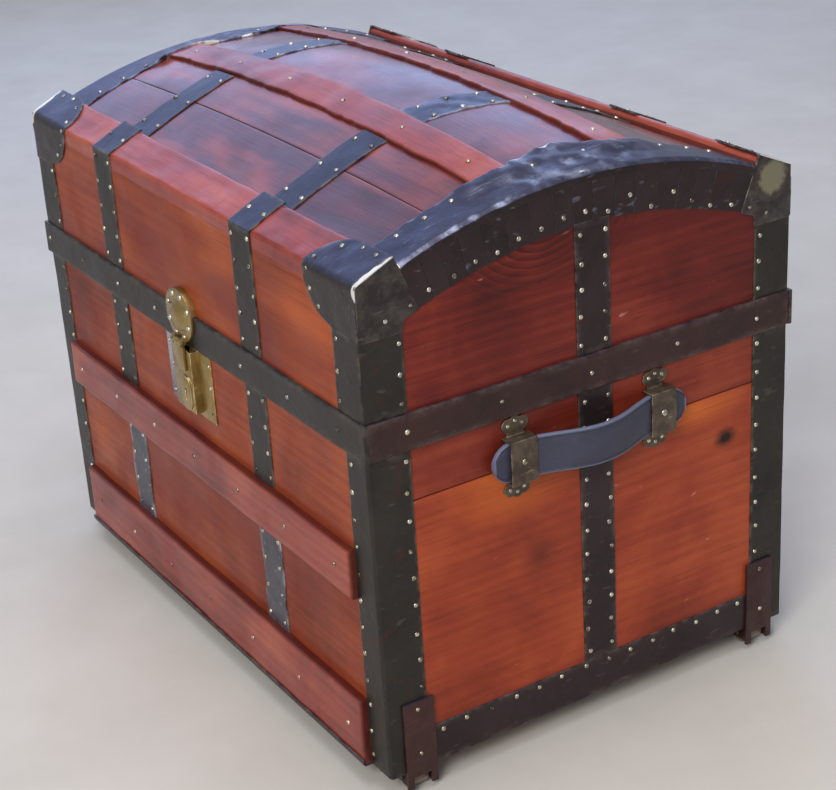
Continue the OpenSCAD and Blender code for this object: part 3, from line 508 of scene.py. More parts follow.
def sheet_metal(name, dark, mid, worn, metallic=0.45, gloss=0.34, wear=0.5, rust=None, pale_patch=None,
                dents=1.0, sky_sheen=0.6):
    """Old painted or tarnished sheet steel or brass, with a painted bluish sky reflection where it faces up.
    """
    f = Finish(name, Metallic=metallic, Specular_IOR_Level=0.4, Coat_Weight=0.06, Coat_Roughness=0.25)
    blotch = f.noise(11, 5, 0.62, 0.6)
    speck = f.noise(150, 4, 0.7)
    scratch = f.noise(330, 2, 0.6, 0.0, f.stretched((1, 0.12, 0.35)))
    base = f.ramp(f.plus(f.times(blotch, 0.75), f.times(speck, 0.25)),
                  (0.32, dark), (0.62, mid))
    if rust:
        base = f.mix(f.limits(f.noise(34, 5, 0.7, 0.8), 0.56, 0.72, 0.0, 0.8), base, rust)
    # Painted sky reflection: surfaces facing up are mixed towards a dull blue, as the sky's light would show
    # on them.
    facing = f.node("TexCoord").outputs["Normal"]
    upward = f.node("SeparateXYZ", {"Vector": facing}).outputs["Z"]
    base = f.mix(f.limits(upward, 0.3, 0.75, 0.0, sky_sheen), base, (54, 62, 94))
    edge = f.mark("edge")
    # Worn edges are lightened. Where a gleam raises the edge mark, the lightening is partly a painted
    # highlight.
    wear_and_gleam = f.times(f.math("MINIMUM", edge, 1.0), f.limits(f.noise(55, 4, 0.65), 0.42, 0.62))
    base = f.mix(f.times(wear_and_gleam, wear), base, worn)
    base = f.mix(f.limits(scratch, 0.62, 0.72, 0.0, 0.35 * wear), base, worn)
    if pale_patch:
        shade, centre, reach, squeeze = pale_patch
        patch = f.plus(f.near(centre, reach, squeeze), f.swing(speck, 0.7))
        base = f.mix(f.limits(patch, 0.25, 0.5), base, shade)
    # Near-white where the edge mark runs high: bare metal on worn edges, and a painted highlight where a
    # gleam raises the mark.
    bare = f.limits(f.plus(edge, f.swing(speck, 0.9)), 1.3, 1.6)
    base = f.mix(bare, base, (238, 234, 226))
    shine = f.plus(f.limits(blotch, 0.3, 0.7, gloss - 0.08, gloss + 0.12), f.times(speck, 0.12))
    height = f.plus(f.times(blotch, 2.2 * dents), f.times(speck, 0.35),
                    f.times(f.noise(38, 3, 0.5), 1.3 * dents))
    return f.finish(base, shine, height, 0.45, 0.0012)


def nail_metal(name, dark, bright):
    f = Finish(name, Metallic=0.9, Specular_IOR_Level=0.6)
    speck = f.noise(240, 4, 0.65)
    worn = f.plus(f.times(speck, 0.5), f.times(f.noise(0.35, 2, 0.5), 0.6))
    base = f.ramp(worn, (0.46, dark), (0.58, bright))
    return f.finish(base, f.limits(speck, 0.3, 0.7, 0.2, 0.42), speck, 0.3, 0.0004)


def leather(name):
    f = Finish(name, Specular_IOR_Level=0.5, Coat_Weight=0.1, Coat_Roughness=0.4)
    cells = f.node("TexVoronoi", {"Vector": f.place, "Scale": 620.0},
                   feature="DISTANCE_TO_EDGE").outputs[0]
    creases = f.noise(60, 5, 0.65, 0.8, f.stretched((1, 0.6, 1)))
    patches = f.noise(14, 4, 0.6)
    base = f.ramp(f.plus(f.times(patches, 0.6), f.times(creases, 0.4)),
                  (0.34, (40, 40, 54)), (0.64, (62, 62, 84)))
    # Painted highlight: the raised rim and the tips, marked by the edge attribute, are mixed towards a light
    # blue-grey, the light the leather's edges catch.
    base = f.mix(f.times(f.limits(f.mark("edge"), 0.3, 0.9), 0.8), base, (112, 120, 148))
    height = f.plus(f.times(f.limits(cells, 0.0, 0.25), 0.7), f.times(creases, 1.2))
    return f.finish(base, f.limits(creases, 0.3, 0.7, 0.42, 0.6), height, 0.35, 0.0006)


# Each finish is a slot and its material.
SIDE_WOOD = "side_wood", wood(
    "varnished_front_boards", (96, 34, 16), (138, 57, 29), (172, 84, 40), coat=0.06, level=0.18, streak=0.7,
    tint=((116, 40, 28), 5.0, 0.5, 0.66),
    low_glow=(((190, 92, 26), (0.068, -0.265, 0.5), 0.13, (1, 1, 1)),
              ((184, 86, 28), (0.27, -0.265, 0.49), 0.09, (1, 1, 1))))
# The staves' plum tint is partly a painted reflection of the bluish sky on the varnish.
DOME_WOOD = "dome_wood", wood(
    "varnished_dome_staves", (60, 18, 28), (84, 28, 38), (130, 56, 44), streak=0.8, gloss=0.3, coat=0.4,
    level=0.4, tint=((150, 62, 44), 9.0, 0.52, 0.68))
SLAT_WOOD = "slat_wood", wood(
    "varnished_slats", (98, 32, 26), (142, 54, 42), (176, 86, 60), streak=0.8, gloss=0.32, coat=0.22)
END_DARK = "end_wood_dark", wood(
    "varnished_upper_end_boards", (70, 20, 16), (108, 32, 24), (142, 56, 38), "y", streak=0.8, gloss=0.34,
    coat=0.1, level=0.2, scuffs=0.6, cathedral=((0.383, -0.05, 0.592), 0.085, (1, 0.7, 1.0), 0.0075),
    tint=((86, 24, 22), 6.0, 0.48, 0.66))
END_MID = "end_wood_dark", wood(
    "varnished_upper_end_planks", (84, 26, 18), (128, 46, 32), (164, 74, 46), "y", streak=0.6, gloss=0.36,
    coat=0.08, level=0.2, scuffs=0.5)
GLOW = (212, 108, 42)
END_LIGHT = "end_wood_light", wood(
    "varnished_lower_end_planks", (112, 40, 24), (154, 61, 35), (186, 88, 48), "y", gloss=0.36, coat=0.08,
    level=0.2, scuffs=0.5, streak=0.5, knots=(((0.383, 0.181, 0.281), 0.019),),
    low_glow=((GLOW, (0.383, -0.095, 0.325), 0.075, (1, 0.8, 1.3)),
              (GLOW, (0.383, 0.135, 0.33), 0.06, (1, 0.7, 2.0)),
              ((92, 34, 26), (0.383, -0.07, 0.222), 0.03, (1, 1, 1))))
BOTTOM_WOOD = "bottom_wood", wood(
    "bare_bottom_boards", (96, 66, 42), (134, 98, 64), (170, 130, 90), coat=0.0, gloss=0.6)
ROLLER_WOOD = "roller_wood", wood(
    "worn_roller_wood", (88, 70, 60), (124, 104, 92), (164, 146, 134), "y", coat=0.3, gloss=0.34)
# A paler grey-olive patch on the far right corner, near the top.
CORNER_PATCH = ((136, 130, 106), (0.384, 0.24, 0.565), 0.028, (1, 1, 1))
BAND = "band_metal", sheet_metal(
    "tarnished_steel_bands", (31, 28, 26), (55, 50, 45), (140, 132, 118), rust=(74, 40, 28),
    pale_patch=CORNER_PATCH)
FRONT_RIM = "band_metal", sheet_metal(
    "dark_steel_front_rim", (32, 29, 27), (57, 52, 47), (140, 132, 118), wear=0.25, sky_sheen=0.2,
    rust=(70, 40, 30))
RIM_METAL = "band_metal", sheet_metal(
    "dark_steel_rim_bands", (44, 28, 28), (68, 46, 44), (150, 130, 122), wear=0.3, sky_sheen=0.2,
    rust=(76, 38, 30))
END_METAL = "band_metal", sheet_metal(
    "dark_steel_end_bands", (36, 26, 28), (58, 44, 46), (140, 128, 118), rust=(66, 32, 26), sky_sheen=0.3)
# Its pale bluish worn colour shows where the fold and crest are marked: partly wear, partly a painted sky
# highlight.
ARCH_METAL = "band_metal", sheet_metal(
    "dented_steel_arches", (36, 26, 28), (58, 44, 46), (156, 164, 192), wear=0.85, dents=1.3,
    rust=(66, 32, 26))
CASTER_METAL = "band_metal", sheet_metal(
    "brown_steel_casters", (46, 26, 26), (72, 44, 42), (140, 112, 104), rust=(80, 40, 30))
CAP_METAL = "band_metal", sheet_metal(
    "rubbed_steel_caps", (38, 33, 33), (62, 55, 54), (170, 160, 146), metallic=0.5, gloss=0.28, wear=0.6,
    rust=(70, 44, 34), pale_patch=CORNER_PATCH)
WORN_STEEL = "bare_steel", sheet_metal(
    "rubbed_steel_straps", (52, 50, 56), (104, 104, 114), (196, 200, 214), metallic=0.7, gloss=0.3, wear=0.9,
    rust=(70, 44, 36))
STEEL = "bare_steel", sheet_metal(
    "bare_steel", (70, 66, 62), (120, 116, 110), (200, 198, 192), metallic=0.9, gloss=0.3, sky_sheen=0.0)
# The brass's paler patch is the silvery-lavender left flange of the lock plate.
BRASS = "worn_brass", sheet_metal(
    "tarnished_brass", (116, 94, 54), (166, 140, 84), (250, 236, 186), metallic=0.85, gloss=0.2, wear=1.0,
    sky_sheen=0.0, pale_patch=((186, 178, 190), (-0.052, -0.268, 0.35), 0.045, (1.3, 1, 0.5)))
LOOP_BRASS = "worn_brass", sheet_metal(
    "dull_brass_loops", (68, 56, 50), (90, 76, 66), (206, 190, 150), metallic=0.6, gloss=0.36, wear=1.0,
    dents=0.5, sky_sheen=0.0)
NAIL = "nail_brass", nail_metal("bright_nails", (84, 72, 60), (232, 224, 204))
LEATHER = "handle_leather", leather("slate_leather")

# ---------- pieces ----------


def piece(name, shells, body, finish, *nodes):
    """One visible piece made of shells, which stands for the CAD nodes named."""
    shells = shells if isinstance(shells, list) else [shells]
    faces, start = [], 0
    for shell in shells:
        faces += (shell.quads + start).tolist() + [[i + start for i in p] for p in shell.polys]
        start += len(shell.points)
    mesh = bpy.data.meshes.new(name)
    mesh.from_pydata((np.concatenate([s.points for s in shells]) * 0.001).tolist(), [], faces)
    for mark in MARKS:
        values = np.concatenate([s.marks[mark] for s in shells])
        mesh.attributes.new(mark, "FLOAT", "POINT").data.foreach_set("value", values.astype(np.float32))
    show(name, mesh, body, finish, nodes)


def show(name, mesh, body, finish, nodes):
    slot, material = finish
    mesh.materials.append(material)
    mesh.shade_smooth()
    mesh.set_sharp_from_angle(angle=radians(38))
    made = bpy.data.objects.new(name, mesh)
    bpy.context.scene.collection.objects.link(made)
    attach(made, body)
    if nodes:
        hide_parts(*nodes)


def eased(name, node, body, finish, bevel):
    """The CAD node's own shape with its edges eased."""
    work = bmesh.new()
    work.from_mesh(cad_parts[node].data)
    bmesh.ops.remove_doubles(work, verts=work.verts, dist=1e-6)
    bmesh.ops.dissolve_limit(work, angle_limit=radians(1), verts=work.verts, edges=work.edges)
    sharp = [e for e in work.edges if len(e.link_faces) == 2 and e.calc_face_angle(0) > radians(35)]
    rounded = set(bmesh.ops.bevel(work, geom=sharp, offset=bevel * 0.001, segments=2, profile=0.5,
                                  affect="EDGES", clamp_overlap=True)["faces"])
    bmesh.ops.recalc_face_normals(work, faces=work.faces)
    mesh = bpy.data.meshes.new(name)
    values = np.array([0.9 if face in rounded else 0.12 for face in work.faces], np.float32)
    work.to_mesh(mesh)
    work.free()
    mesh.attributes.new("edge", "FLOAT", "FACE").data.foreach_set("value", values)
    show(name, mesh, body, finish, (node,))


def board(place, u, v, plank, top=0.0, bevel=1.0, step=(12, 12), bump=0.25, size=60, warp=None):
    return strip(place, u, v, top, -BOARD_T, bevel, step, warp, bump, size, plank, raw=True)


def sheet(place, u, v, step, bump, size, plank, top=BAND_T - 0.2, bottom=-0.5, **more):
    """Thin metal band."""
    return strip(place, u, v, top, bottom, 0.7, step, bump=bump, size=size, plank=plank, **more)


def rim(place, span, plank):
    """Part of the thicker band round the lid's lower edge."""
    return strip(place, span, (SEAM_Z, RIM_TOP), RIM_T - 0.35, -0.5, 1.4, (8, 5), bump=0.3, size=40,
                 plank=plank)


def boards():
    """Case and lid boards."""
    side = (-HALF_L, HALF_L)
    end = (-INNER_D, INNER_D)

    def arched(y, z):
        top = ARCH_Z + np.sqrt((ARCH_R - STAVE_T - 0.5) ** 2 - y ** 2)
        return y, SEAM_Z + (z - SEAM_Z) * (top - SEAM_Z)
    for label, flip, shade in (("front", 1, 1.0), ("back", -1, 5.0)):
        place = flipped(on_front, 1, flip)
        piece(f"{label}_case_board", board(place, side, (FLOOR_Z, BODY_TOP), shade), "trunk", SIDE_WOOD,
              f"body_{label}_board")
        piece(f"{label}_lid_board", board(place, side, (SEAM_Z, 556), shade + 2.3), "lid", SIDE_WOOD,
              f"lid_{label}_board")
    for label, flip, shade in (("right", 1, 0.6), ("left", -1, 7.0)):
        place = flipped(on_right, flip, 1)
        lower = board(place, end, (FLOOR_Z, PLANK_Z - 0.2), shade, bevel=1.2, size=70)
        piece(f"{label}_lower_end_plank", lower, "trunk", END_LIGHT, f"body_end_{label}_lower")
        upper = board(place, end, (PLANK_Z + 0.2, BODY_TOP), shade + 1.7, -0.3, 1.2, (12, 8), size=70)
        piece(f"{label}_upper_end_plank", upper, "trunk", END_MID, f"body_end_{label}_upper")
        lid = board(place, end, (SEAM_Z, SEAM_Z + 1), shade + 3.1, 0, 0.002, (12, 0.06), 0.3, warp=arched)
        piece(f"{label}_lid_end_board", lid, "lid", END_DARK, f"lid_end_{label}")
    eased("case_floor_boards", "body_bottom_board", "trunk", BOTTOM_WOOD, 0.8)


def dome():
    """Staves and slats of the lid."""
    turns = (-EDGE_A, -JOINT_A, -SLAT_MID_A, SLAT_MID_A, JOINT_A, EDGE_A)
    for number, (a0, a1) in enumerate(zip(turns, turns[1:]), 1):
        stave = strip(on_dome, (-HALF_L, HALF_L), (a0 * ARC + 0.02, a1 * ARC - 0.02), 0, -STAVE_T, 1.3,
                      bump=0.35, size=45, plank=number * 1.9, raw=True, seed=number)
        piece(f"dome_stave_{number}", stave, "lid", DOME_WOOD, f"lid_stave_{number}")
    reach = HALF_L - 45
    for number, side in ((2, -1), (3, 1)):
        span = tuple(sorted((side * SLAT_HIGH_A * ARC, side * SLAT_LOW_A * ARC)))
        slat = strip(on_dome, (-reach, reach), span, SEAT + UPPER_SLAT_T - 0.5, 0.1, 2.0, (3.5, 4), bump=0.5,
                     size=28, warp=wavy(span, 1.4, 1.0, 38, number, 2.2), plank=number * 2.7,
                     seed=number + 20)
        piece(f"upper_dome_slat_{number}", slat, "lid", SLAT_WOOD, f"dome_slat_{number}")
    for number, flip in ((1, 1), (4, -1)):
        stations = np.linspace(-HALF_L, HALF_L, 128)
        sections = []
        for x in stations:
            at = np.column_stack([np.full(len(OUTER), x), SLOPE_RING])
            worn = (0.55 * rough(at, 26, 40 + number) + 0.35 * rough(at, 9, 60 + number)) * OUTER
            sections.append((at + np.column_stack([0 * worn, worn * 0.5, worn])) * (1, flip, 1))
        edge = np.tile(EDGE_MARK, len(stations))
        piece(f"outer_dome_slat_{number}", loft(sections, edge=edge, plank=number * 3.3), "lid", SLAT_WOOD,
              f"dome_slat_{number}")


def slope_section():
    """Cross-section of the front outer slat, with what wears and which points show; its edge mark also paints
    shade on the inner face.
    """
    under = ARCH_R - 4
    foot = 17.0
    path = Path([(-HALF_D, EDGE_Z - 5), SLOPE_LOW, SLOPE_HIGH, round_arch(under, -SHOULDER)], 7.0, 1)
    s = np.unique(np.concatenate([np.linspace(0, path.length, 26), path.s]))
    y, z = path.at(s, np.zeros_like(s))
    corner = np.minimum(np.abs(s - foot), np.abs(s - foot - SLOPE_LEN))
    # The mark rubs both corners of the slope and runs to 1 on the inner face below it, where the wood's edge
    # shading paints a shadow line.
    mark = np.maximum(np.clip(1 - corner / 6, 0, 0.8), np.clip((s - foot - 0.5 - SLOPE_LEN) / 3, 0, 1))
    back = round_arch(under, -np.linspace(SHOULDER, EDGE_A, 5)[1:-1])
    ring = np.concatenate([np.column_stack([y, z]), np.column_stack(back)])
    outer = np.concatenate([np.clip(np.minimum(s, path.length - s) / 8, 0, 1), np.zeros(3)])
    return ring, outer, np.concatenate([mark, np.zeros(3)])


SLOPE_RING, OUTER, EDGE_MARK = slope_section()


def side_slats():
    reach = HALF_L - 38
    for label, flip in FACES:
        for height, span in (("mid", MID_SLAT), ("bottom", LOW_SLAT)):
            place = flipped(on_front, 1, flip)
            slat = strip(place, (-reach, reach), span, SIDE_SLAT_T - 0.5, -0.5, 2.6, (6, 5), bump=0.5,
                         size=30, warp=wavy(span, 0.9, 0.9, 40, len(height)), seed=7,
                         plank=span[0] * 0.03 + flip)
            piece(f"{label}_{height}_batten", slat, "trunk", SLAT_WOOD, f"{label}_{height}_slat")


CORNER = Path([(HALF_L - 60, -HALF_D), (HALF_L, -HALF_D), (HALF_L, -HALF_D + 60)], 1.6, -1)
CORNER_S = CORNER.length / 2


def on_corner(u, z, h):
    x, y = CORNER.at(CORNER_S + u, h)
    return np.stack([x, y, z + 0 * x], -1)


def corner_bands():
    body, lid = [], []
    for fx, fy in CORNERS:
        place = flipped(on_corner, fx, fy)
        shade = fx + 2 * fy
        body.append(sheet(place, (-38, 47), (FLOOR_Z, BODY_TOP), (2.5, 7), 0.35, 24, shade, bottom=-0.6))
        for span, top in (((-47, 0), BAND_T - 0.2), ((-4, 47), BAND_T - 0.25)):
            lid.append(sheet(place, span, (RIM_TOP, ANGLE_TOP), (2.5, 7), 0.35, 24, shade + 4, top, -0.6))
    piece("case_corner_bands", body, "trunk", BAND, "body_corner_bands")
    piece("lid_corner_angles", lid, "lid", BAND, "lid_corner_bands")


def end_bands():
    case, foot, lid, rims = [], [], [], []
    for flip in SIDES:
        place = flipped(on_right, flip, 1)
        case.append(sheet(place, END_BAND, (FOOT_TOP, BODY_TOP), (5, 7), 0.4, 26, flip))
        foot.append(sheet(place, (-219, 219), (FLOOR_Z, FOOT_TOP), (7, 5), 0.35, 26, flip + 4))
        lid.append(sheet(place, END_BAND, (RIM_TOP, 573), (5, 7), 0.4, 26, flip + 8, BAND_T - 0.25))
        rims.append(rim(place, (-HALF_D, HALF_D), flip + 12))
    lip = Path([(-HALF_D - 10, 34), (-HALF_D - 10, FLOOR_Z), (-HALF_D + 20, FLOOR_Z)], 1.0, -1)
    for flip in SIDES:
        place = flipped(along_x(lip), 1, flip)
        foot.append(strip(place, (-345, 345), (0, 36.5), BAND_T - 0.1, 0, 0.5, (8, 3), plank=flip))
    piece("end_upright_bands", case, "trunk", END_METAL, "body_end_bands")
    piece("foot_bands", foot, "trunk", END_METAL, "body_foot_bands")
    piece("lid_end_upright_bands", lid, "lid", END_METAL, "lid_end_bands")
    piece("lid_rim_end_bands", rims, "lid", RIM_METAL, "lid_rim_ends")


def rims():
    reach = HALF_L + RIM_T
    piece("lid_rim_front_band", rim(on_front, (-reach, reach), 3), "lid", FRONT_RIM, "lid_rim_front")
    spans = ((-reach, -281.5), (-218.5, 218.5), (281.5, reach))
    back = [rim(flipped(on_front, 1, -1), span, 5) for span in spans]
    piece("lid_rim_back_bands", back, "lid", BAND, "lid_rim_back")


def straps():
    upper, lower, lid = [], [], []
    for flip in SIDES:
        place = flipped(on_front, 1, flip)
        for x, span in STRAP_SPANS:
            upper.append(sheet(place, span, (MID_SLAT[1], BODY_TOP), (5, 6), 0.4, 22, x))
            lower.append(sheet(place, span, (LOW_SLAT[1], MID_SLAT[0]), (5, 6), 0.5, 18, x,
                               warp=wavy_side(span, 1.2, 20)))
            lid.append(sheet(place, span, (RIM_TOP, 571), (5, 6), 0.4, 24, x + 2))
    piece("case_upper_straps", upper, "trunk", BAND, "body_straps")
    piece("case_lower_straps", lower, "trunk", WORN_STEEL)
    piece("lid_side_straps", lid, "lid", BAND, "lid_straps")
    # The crumpled crest straps form their own piece in the paler bluish worn steel: partly wear, partly a
    # painted sky reflection on the crest.
    cross, bright = [], []
    end = SHOULDER - 0.15
    for x, span in STRAP_SPANS:
        for a0, a1 in ((-end, -SLAT_HIGH_A), (-SLAT_LOW_A, SLAT_LOW_A), (SLAT_HIGH_A, end)):
            crumpled = a0 < 0 < a1
            bump, size, wave = (1.3, 15, 2.4) if crumpled else (0.5, 26, 0.8)
            made = sheet(on_dome, span, (a0 * ARC, a1 * ARC), (4, 4), bump, size, x + a0,
                         SEAT + BAND_T - 0.1, 0.05, warp=wavy_side(span, wave, 16))
            (bright if crumpled else cross).append(made)
        for flip in SIDES:
            cross.append(sheet(flipped(on_slope, 1, flip), span, (-1.5, SLOPE_LEN + 1), (4, 4), 0.4, 20,
                               x + flip, BAND_T + 0.2, -0.9))
    piece("dome_cross_straps", cross, "lid", BAND, "dome_straps")
    piece("crest_cross_straps", bright, "lid", WORN_STEEL)


def wavy_side(span, amount, size):
    """Warp that lets the two sides of an upright strip wander."""
    def warp(u, v):
        share = (u - span[0]) / (span[1] - span[0])
        return u + amount * ((1 - share) * wander(v + u.min() * 7, size, 3) + share * wander(v, size, 8)), v
    return warp


FOLD = Path([(HALF_L - 90, ARCH_R + SEAT), (HALF_L, ARCH_R + SEAT), (HALF_L, ARCH_R - 30)], 2.2, 1)
FOLD_S = 90 - 0.5


def on_fold(u, arc, h):
    x, r = FOLD.at(FOLD_S + u, h)
    y, z = round_arch(r, arc / ARC)
    return np.stack([x, y, z + crown(np.minimum(x, HALF_L), arc / ARC)], -1)


def on_arch_face(arc, r, h):
    return np.stack([HALF_L + h, *round_arch(r, arc / ARC)], -1)


def eased_step(value, low, high):
    share = np.clip((value - low) / (high - low), 0, 1)
    return share * share * (3 - 2 * share)


def arches():
    """Angle bands over the ends of the dome, tabbed down the end boards."""
    limit = (SHOULDER - 0.15) * ARC

    def widened(u, v):
        share = np.clip(-u / 51, 0, 1)
        wide = 20 * np.exp(-(v / 42) ** 2) * (np.abs(v) < SLAT_LOW_A * ARC)
        return u - share * (wide + 1.6 * wander(v, 24, 4) + 1.2 * wander(v, 9, 6)), v

    def crumple(u, v):
        near_crest = np.exp(-(v / 70) ** 2) * np.clip(-u / 20, 0, 1)
        away = np.abs(v)
        over_slat = eased_step(-u, 24, 42) * eased_step(away, 32, 54) * eased_step(-away, -130, -102)
        dents = rough(np.stack([u, v, 0 * u], -1), 12, 9)
        raised = UPPER_SLAT_T - 0.2 + 0.5 * dents
        return near_crest * (0.9 + 2.2 * dents) * (1 - over_slat) + over_slat * raised

    # Lightens the fold and the crest: partly rubbed wear, partly a painted highlight where the crumpled crest
    # catches the light.
    def wear_and_gleam(u, v):
        near_fold = np.exp(-((u + 0.3) / 1.9) ** 2)
        worn = 0.55 + 0.9 * rough(np.stack([u * 0, v, 0 * u], -1), 11, 3)
        fold = near_fold * np.clip(worn, 0, 1.2) * np.interp(v, [-230, -90, -30], [2.2, 1.6, 0.6])
        crest = 1.3 * np.exp(-(v / 75) ** 2) * np.clip(rough(np.stack([u, v, 0 * u], -1), 13, 17) + 0.3, 0, 1)
        return fold + crest * (u < -2) - 1.0 * (u > 4)
    for label, flip in ENDS:
        place = flipped(on_fold, flip, 1)
        shells = [sheet(place, (-51, 9), (-limit, limit), (3, 4), 0.5, 22, flip * 3, BAND_T - 0.1, -0.2,
                        warp=widened, extra=crumple, gleam=wear_and_gleam)]
        arc = -SHOULDER * ARC
        while arc < SHOULDER * ARC - 12:
            end = min(arc + rng.uniform(22, 31), SHOULDER * ARC)
            low = ARCH_IN + rng.uniform(-0.8, 0.8)
            top = BAND_T - 0.45 - rng.uniform(0, 0.35)
            face = flipped(on_arch_face, flip, 1)
            shells.append(strip(face, (arc + 0.15, end - 0.15), (low, ARCH_R - 5), top, -0.7, 0.35, (6, 7),
                                bump=0.3, size=18, plank=arc * 0.13,
                                gleam=lambda a, r: np.full(a.shape, -0.75)))
            arc = end
        piece(f"{label}_arch_band", shells, "lid", ARCH_METAL, f"lid_arch_{label}")


CAP = Path([(-HALF_D, 511), SLOPE_LOW, SLOPE_HIGH + 8 * SLOPE_DIR], 8.0, 1)
CAP_S = 60 - 0.55


def caps():
    """Corner caps: a lobed top, a lobed front flange and the end flange."""
    def lobed(u, v):
        up = np.clip(v / SLOPE_LEN, 0, 1)
        down = np.clip(-v / 50, 0, 1)
        top_lobe = SLOPE_LEN * np.sqrt(np.clip(1 - up ** 2, 0, 1)) + 2
        front_lobe = 49.5 * np.sqrt(np.clip(1 - down ** 2, 0, 1))
        left = CAP_X - np.where(v >= 0, top_lobe, front_lobe) + wander(v, 14, 2)
        right = HALF_L + BAND_T - 0.1
        return right - (1 - u) * (right - left), v

    def wear_and_gleam(x, s):
        worn = 1.0 + 0.9 * rough(np.stack([x * 0, s, 0 * x], -1), 7, 12)
        along = np.interp(s, [-16, -4, 36, 52], [0, 1.6, 1.6, 1.0])
        return np.clip((x - HALF_L + 5.0) / 3.0, 0, 1) * worn * along
    arc = np.column_stack(round_arch(ARCH_IN, -np.array([23.2, 22.6, 22.0, SHOULDER - 0.2])))
    outline = np.concatenate([[SLOPE_HIGH + [0.4, 1.0], SLOPE_LOW + [-0.9, 0.9], [-HALF_D - 0.9, 515],
                               [-217, 515]], arc])
    shells = []
    for fx, fy in CORNERS:
        place = flipped(along_x(CAP, CAP_S), fx, fy)
        shells.append(strip(place, (0, 1), (-54, SLOPE_LEN), BAND_T + 0.1, -0.3, 0.012, (0.05, 2.5),
                            warp=lobed, bump=0.55, size=17, plank=fx * 2 + fy * 5, gleam=wear_and_gleam))
        shells.append(plate(flipped(on_right, fx, fy), outline, BAND_T + 0.35, -0.4, 0.9, plank=fx + fy))
    piece("lid_corner_cap_plates", shells, "lid", CAP_METAL, "lid_corner_caps")


def handles():
    """Leather straps with a raised rim, round at both tips and bowed between the loops."""
    tip, rivet = 22.0, 89.0
    half_length = 122.4
    rounding = tip * (1 - np.cos(np.linspace(0.12, pi / 2, 12)))
    along = np.concatenate([rounding - half_length, np.linspace(-98, 98, 48), half_length - rounding[::-1]])
    z = np.array([0, 0.4, 0.74, 0.80, 0.84, 0.9, 0.97, 1, 1])
    t = np.array([3, 3, 2.85, 2.2, 2.75, 2.9, 2.4, 1.4, 0])
    z, t = np.concatenate([-z[:0:-1], z]), np.concatenate([t[:0:-1], t])
    # The rim and the tips are marked for the painted highlight on the leather's edges.
    lit_rim_mark = np.clip((np.abs(np.concatenate([z, z[1:-1]])) - 0.85) * 9, 0, 1)
    for label, flip in ENDS:
        sections, edges = [], []
        for s in along:
            past = max(0.0, abs(s) - (122.5 - tip))
            half = sqrt(max(tip ** 2 - past ** 2, 1.0))
            lift = 9 + 23 * cos(radians(90 * min(1, abs(s) / (rivet + 4)))) ** 2
            front = np.column_stack([t, z * half])
            behind = np.column_stack([-t[::-1][1:-1], (z * half)[::-1][1:-1]])
            ring = np.concatenate([front, behind])
            ring[:, 0] += 0.25 * rough(np.column_stack([ring, np.full(len(ring), s)]), 12, 5)
            out, y = flip * (HALF_L + lift + ring[:, 0]), np.full(len(ring), HANDLE_Y + s)
            sections.append(np.column_stack([out, y, HANDLE_Z + ring[:, 1]]))
            edges.append(np.maximum(lit_rim_mark, 0.9 if past > tip * 0.9 else 0))
        strap = loft(sections, edge=np.concatenate(edges))
        piece(f"{label}_leather_strap", strap, "trunk", LEATHER, f"handle_{label}")
    eased("handle_loop_straps", "handle_loops", "trunk", LOOP_BRASS, 0.35)
    spots = [((fx * (HALF_L + LOOP_OUT), HANDLE_Y + fy * rivet, HANDLE_Z), (fx, 0, 0)) for fx, fy in CORNERS]
    piece("handle_rivet_heads", heads(spots, 3.6, 1.8, 20, 0), "trunk", NAIL, "handle_rivets")


def fittings():
    """Lock, hasp, hinges and casters."""
    eased("lock_back_plate", "lock_plate", "trunk", BRASS, 0.5)
    eased("lock_box", "lock_case", "trunk", BRASS, 0.9)
    eased("lock_sliding_bolt", "lock_bolt", "lock_bolt", STEEL, 0.3)
    eased("hasp_head_plate", "hasp_plate", "lid", BRASS, 0.6)
    turns = np.radians(360 * (np.arange(8) + 0.5) / 8)
    front = -HALF_D - RIM_T - 3.0
    beads = [((LOCK_X + 25 * cos(a), front, HEAD_Z + 25 * sin(a)), (0, -1, 0)) for a in turns]
    piece("hasp_head_beads", heads(beads, 3.5, 2.4, 16, 0), "lid", NAIL)
    eased("hasp_arm", "hasp", "hasp", BRASS, 0.6)
    eased("hasp_hinge_pin", "hasp_pin", "lid", STEEL, 0.3)
    eased("hinge_case_leaves", "hinge_body_leaves", "trunk", BAND, 0.4)
    eased("hinge_lid_side_leaves", "hinge_lid_leaves", "lid", BAND, 0.4)
    eased("hinge_pin_rods", "hinge_pins", "trunk", STEEL, 0.4)
    eased("caster_plates", "caster_brackets", "trunk", CASTER_METAL, 0.7)
    eased("caster_axle_rods", "caster_axles", "trunk", STEEL, 0.4)
    for number in (1, 2, 3, 4):
        eased(f"roller_{number}_wheel", f"caster_roller_{number}", f"roller_{number}", ROLLER_WOOD, 1.4)


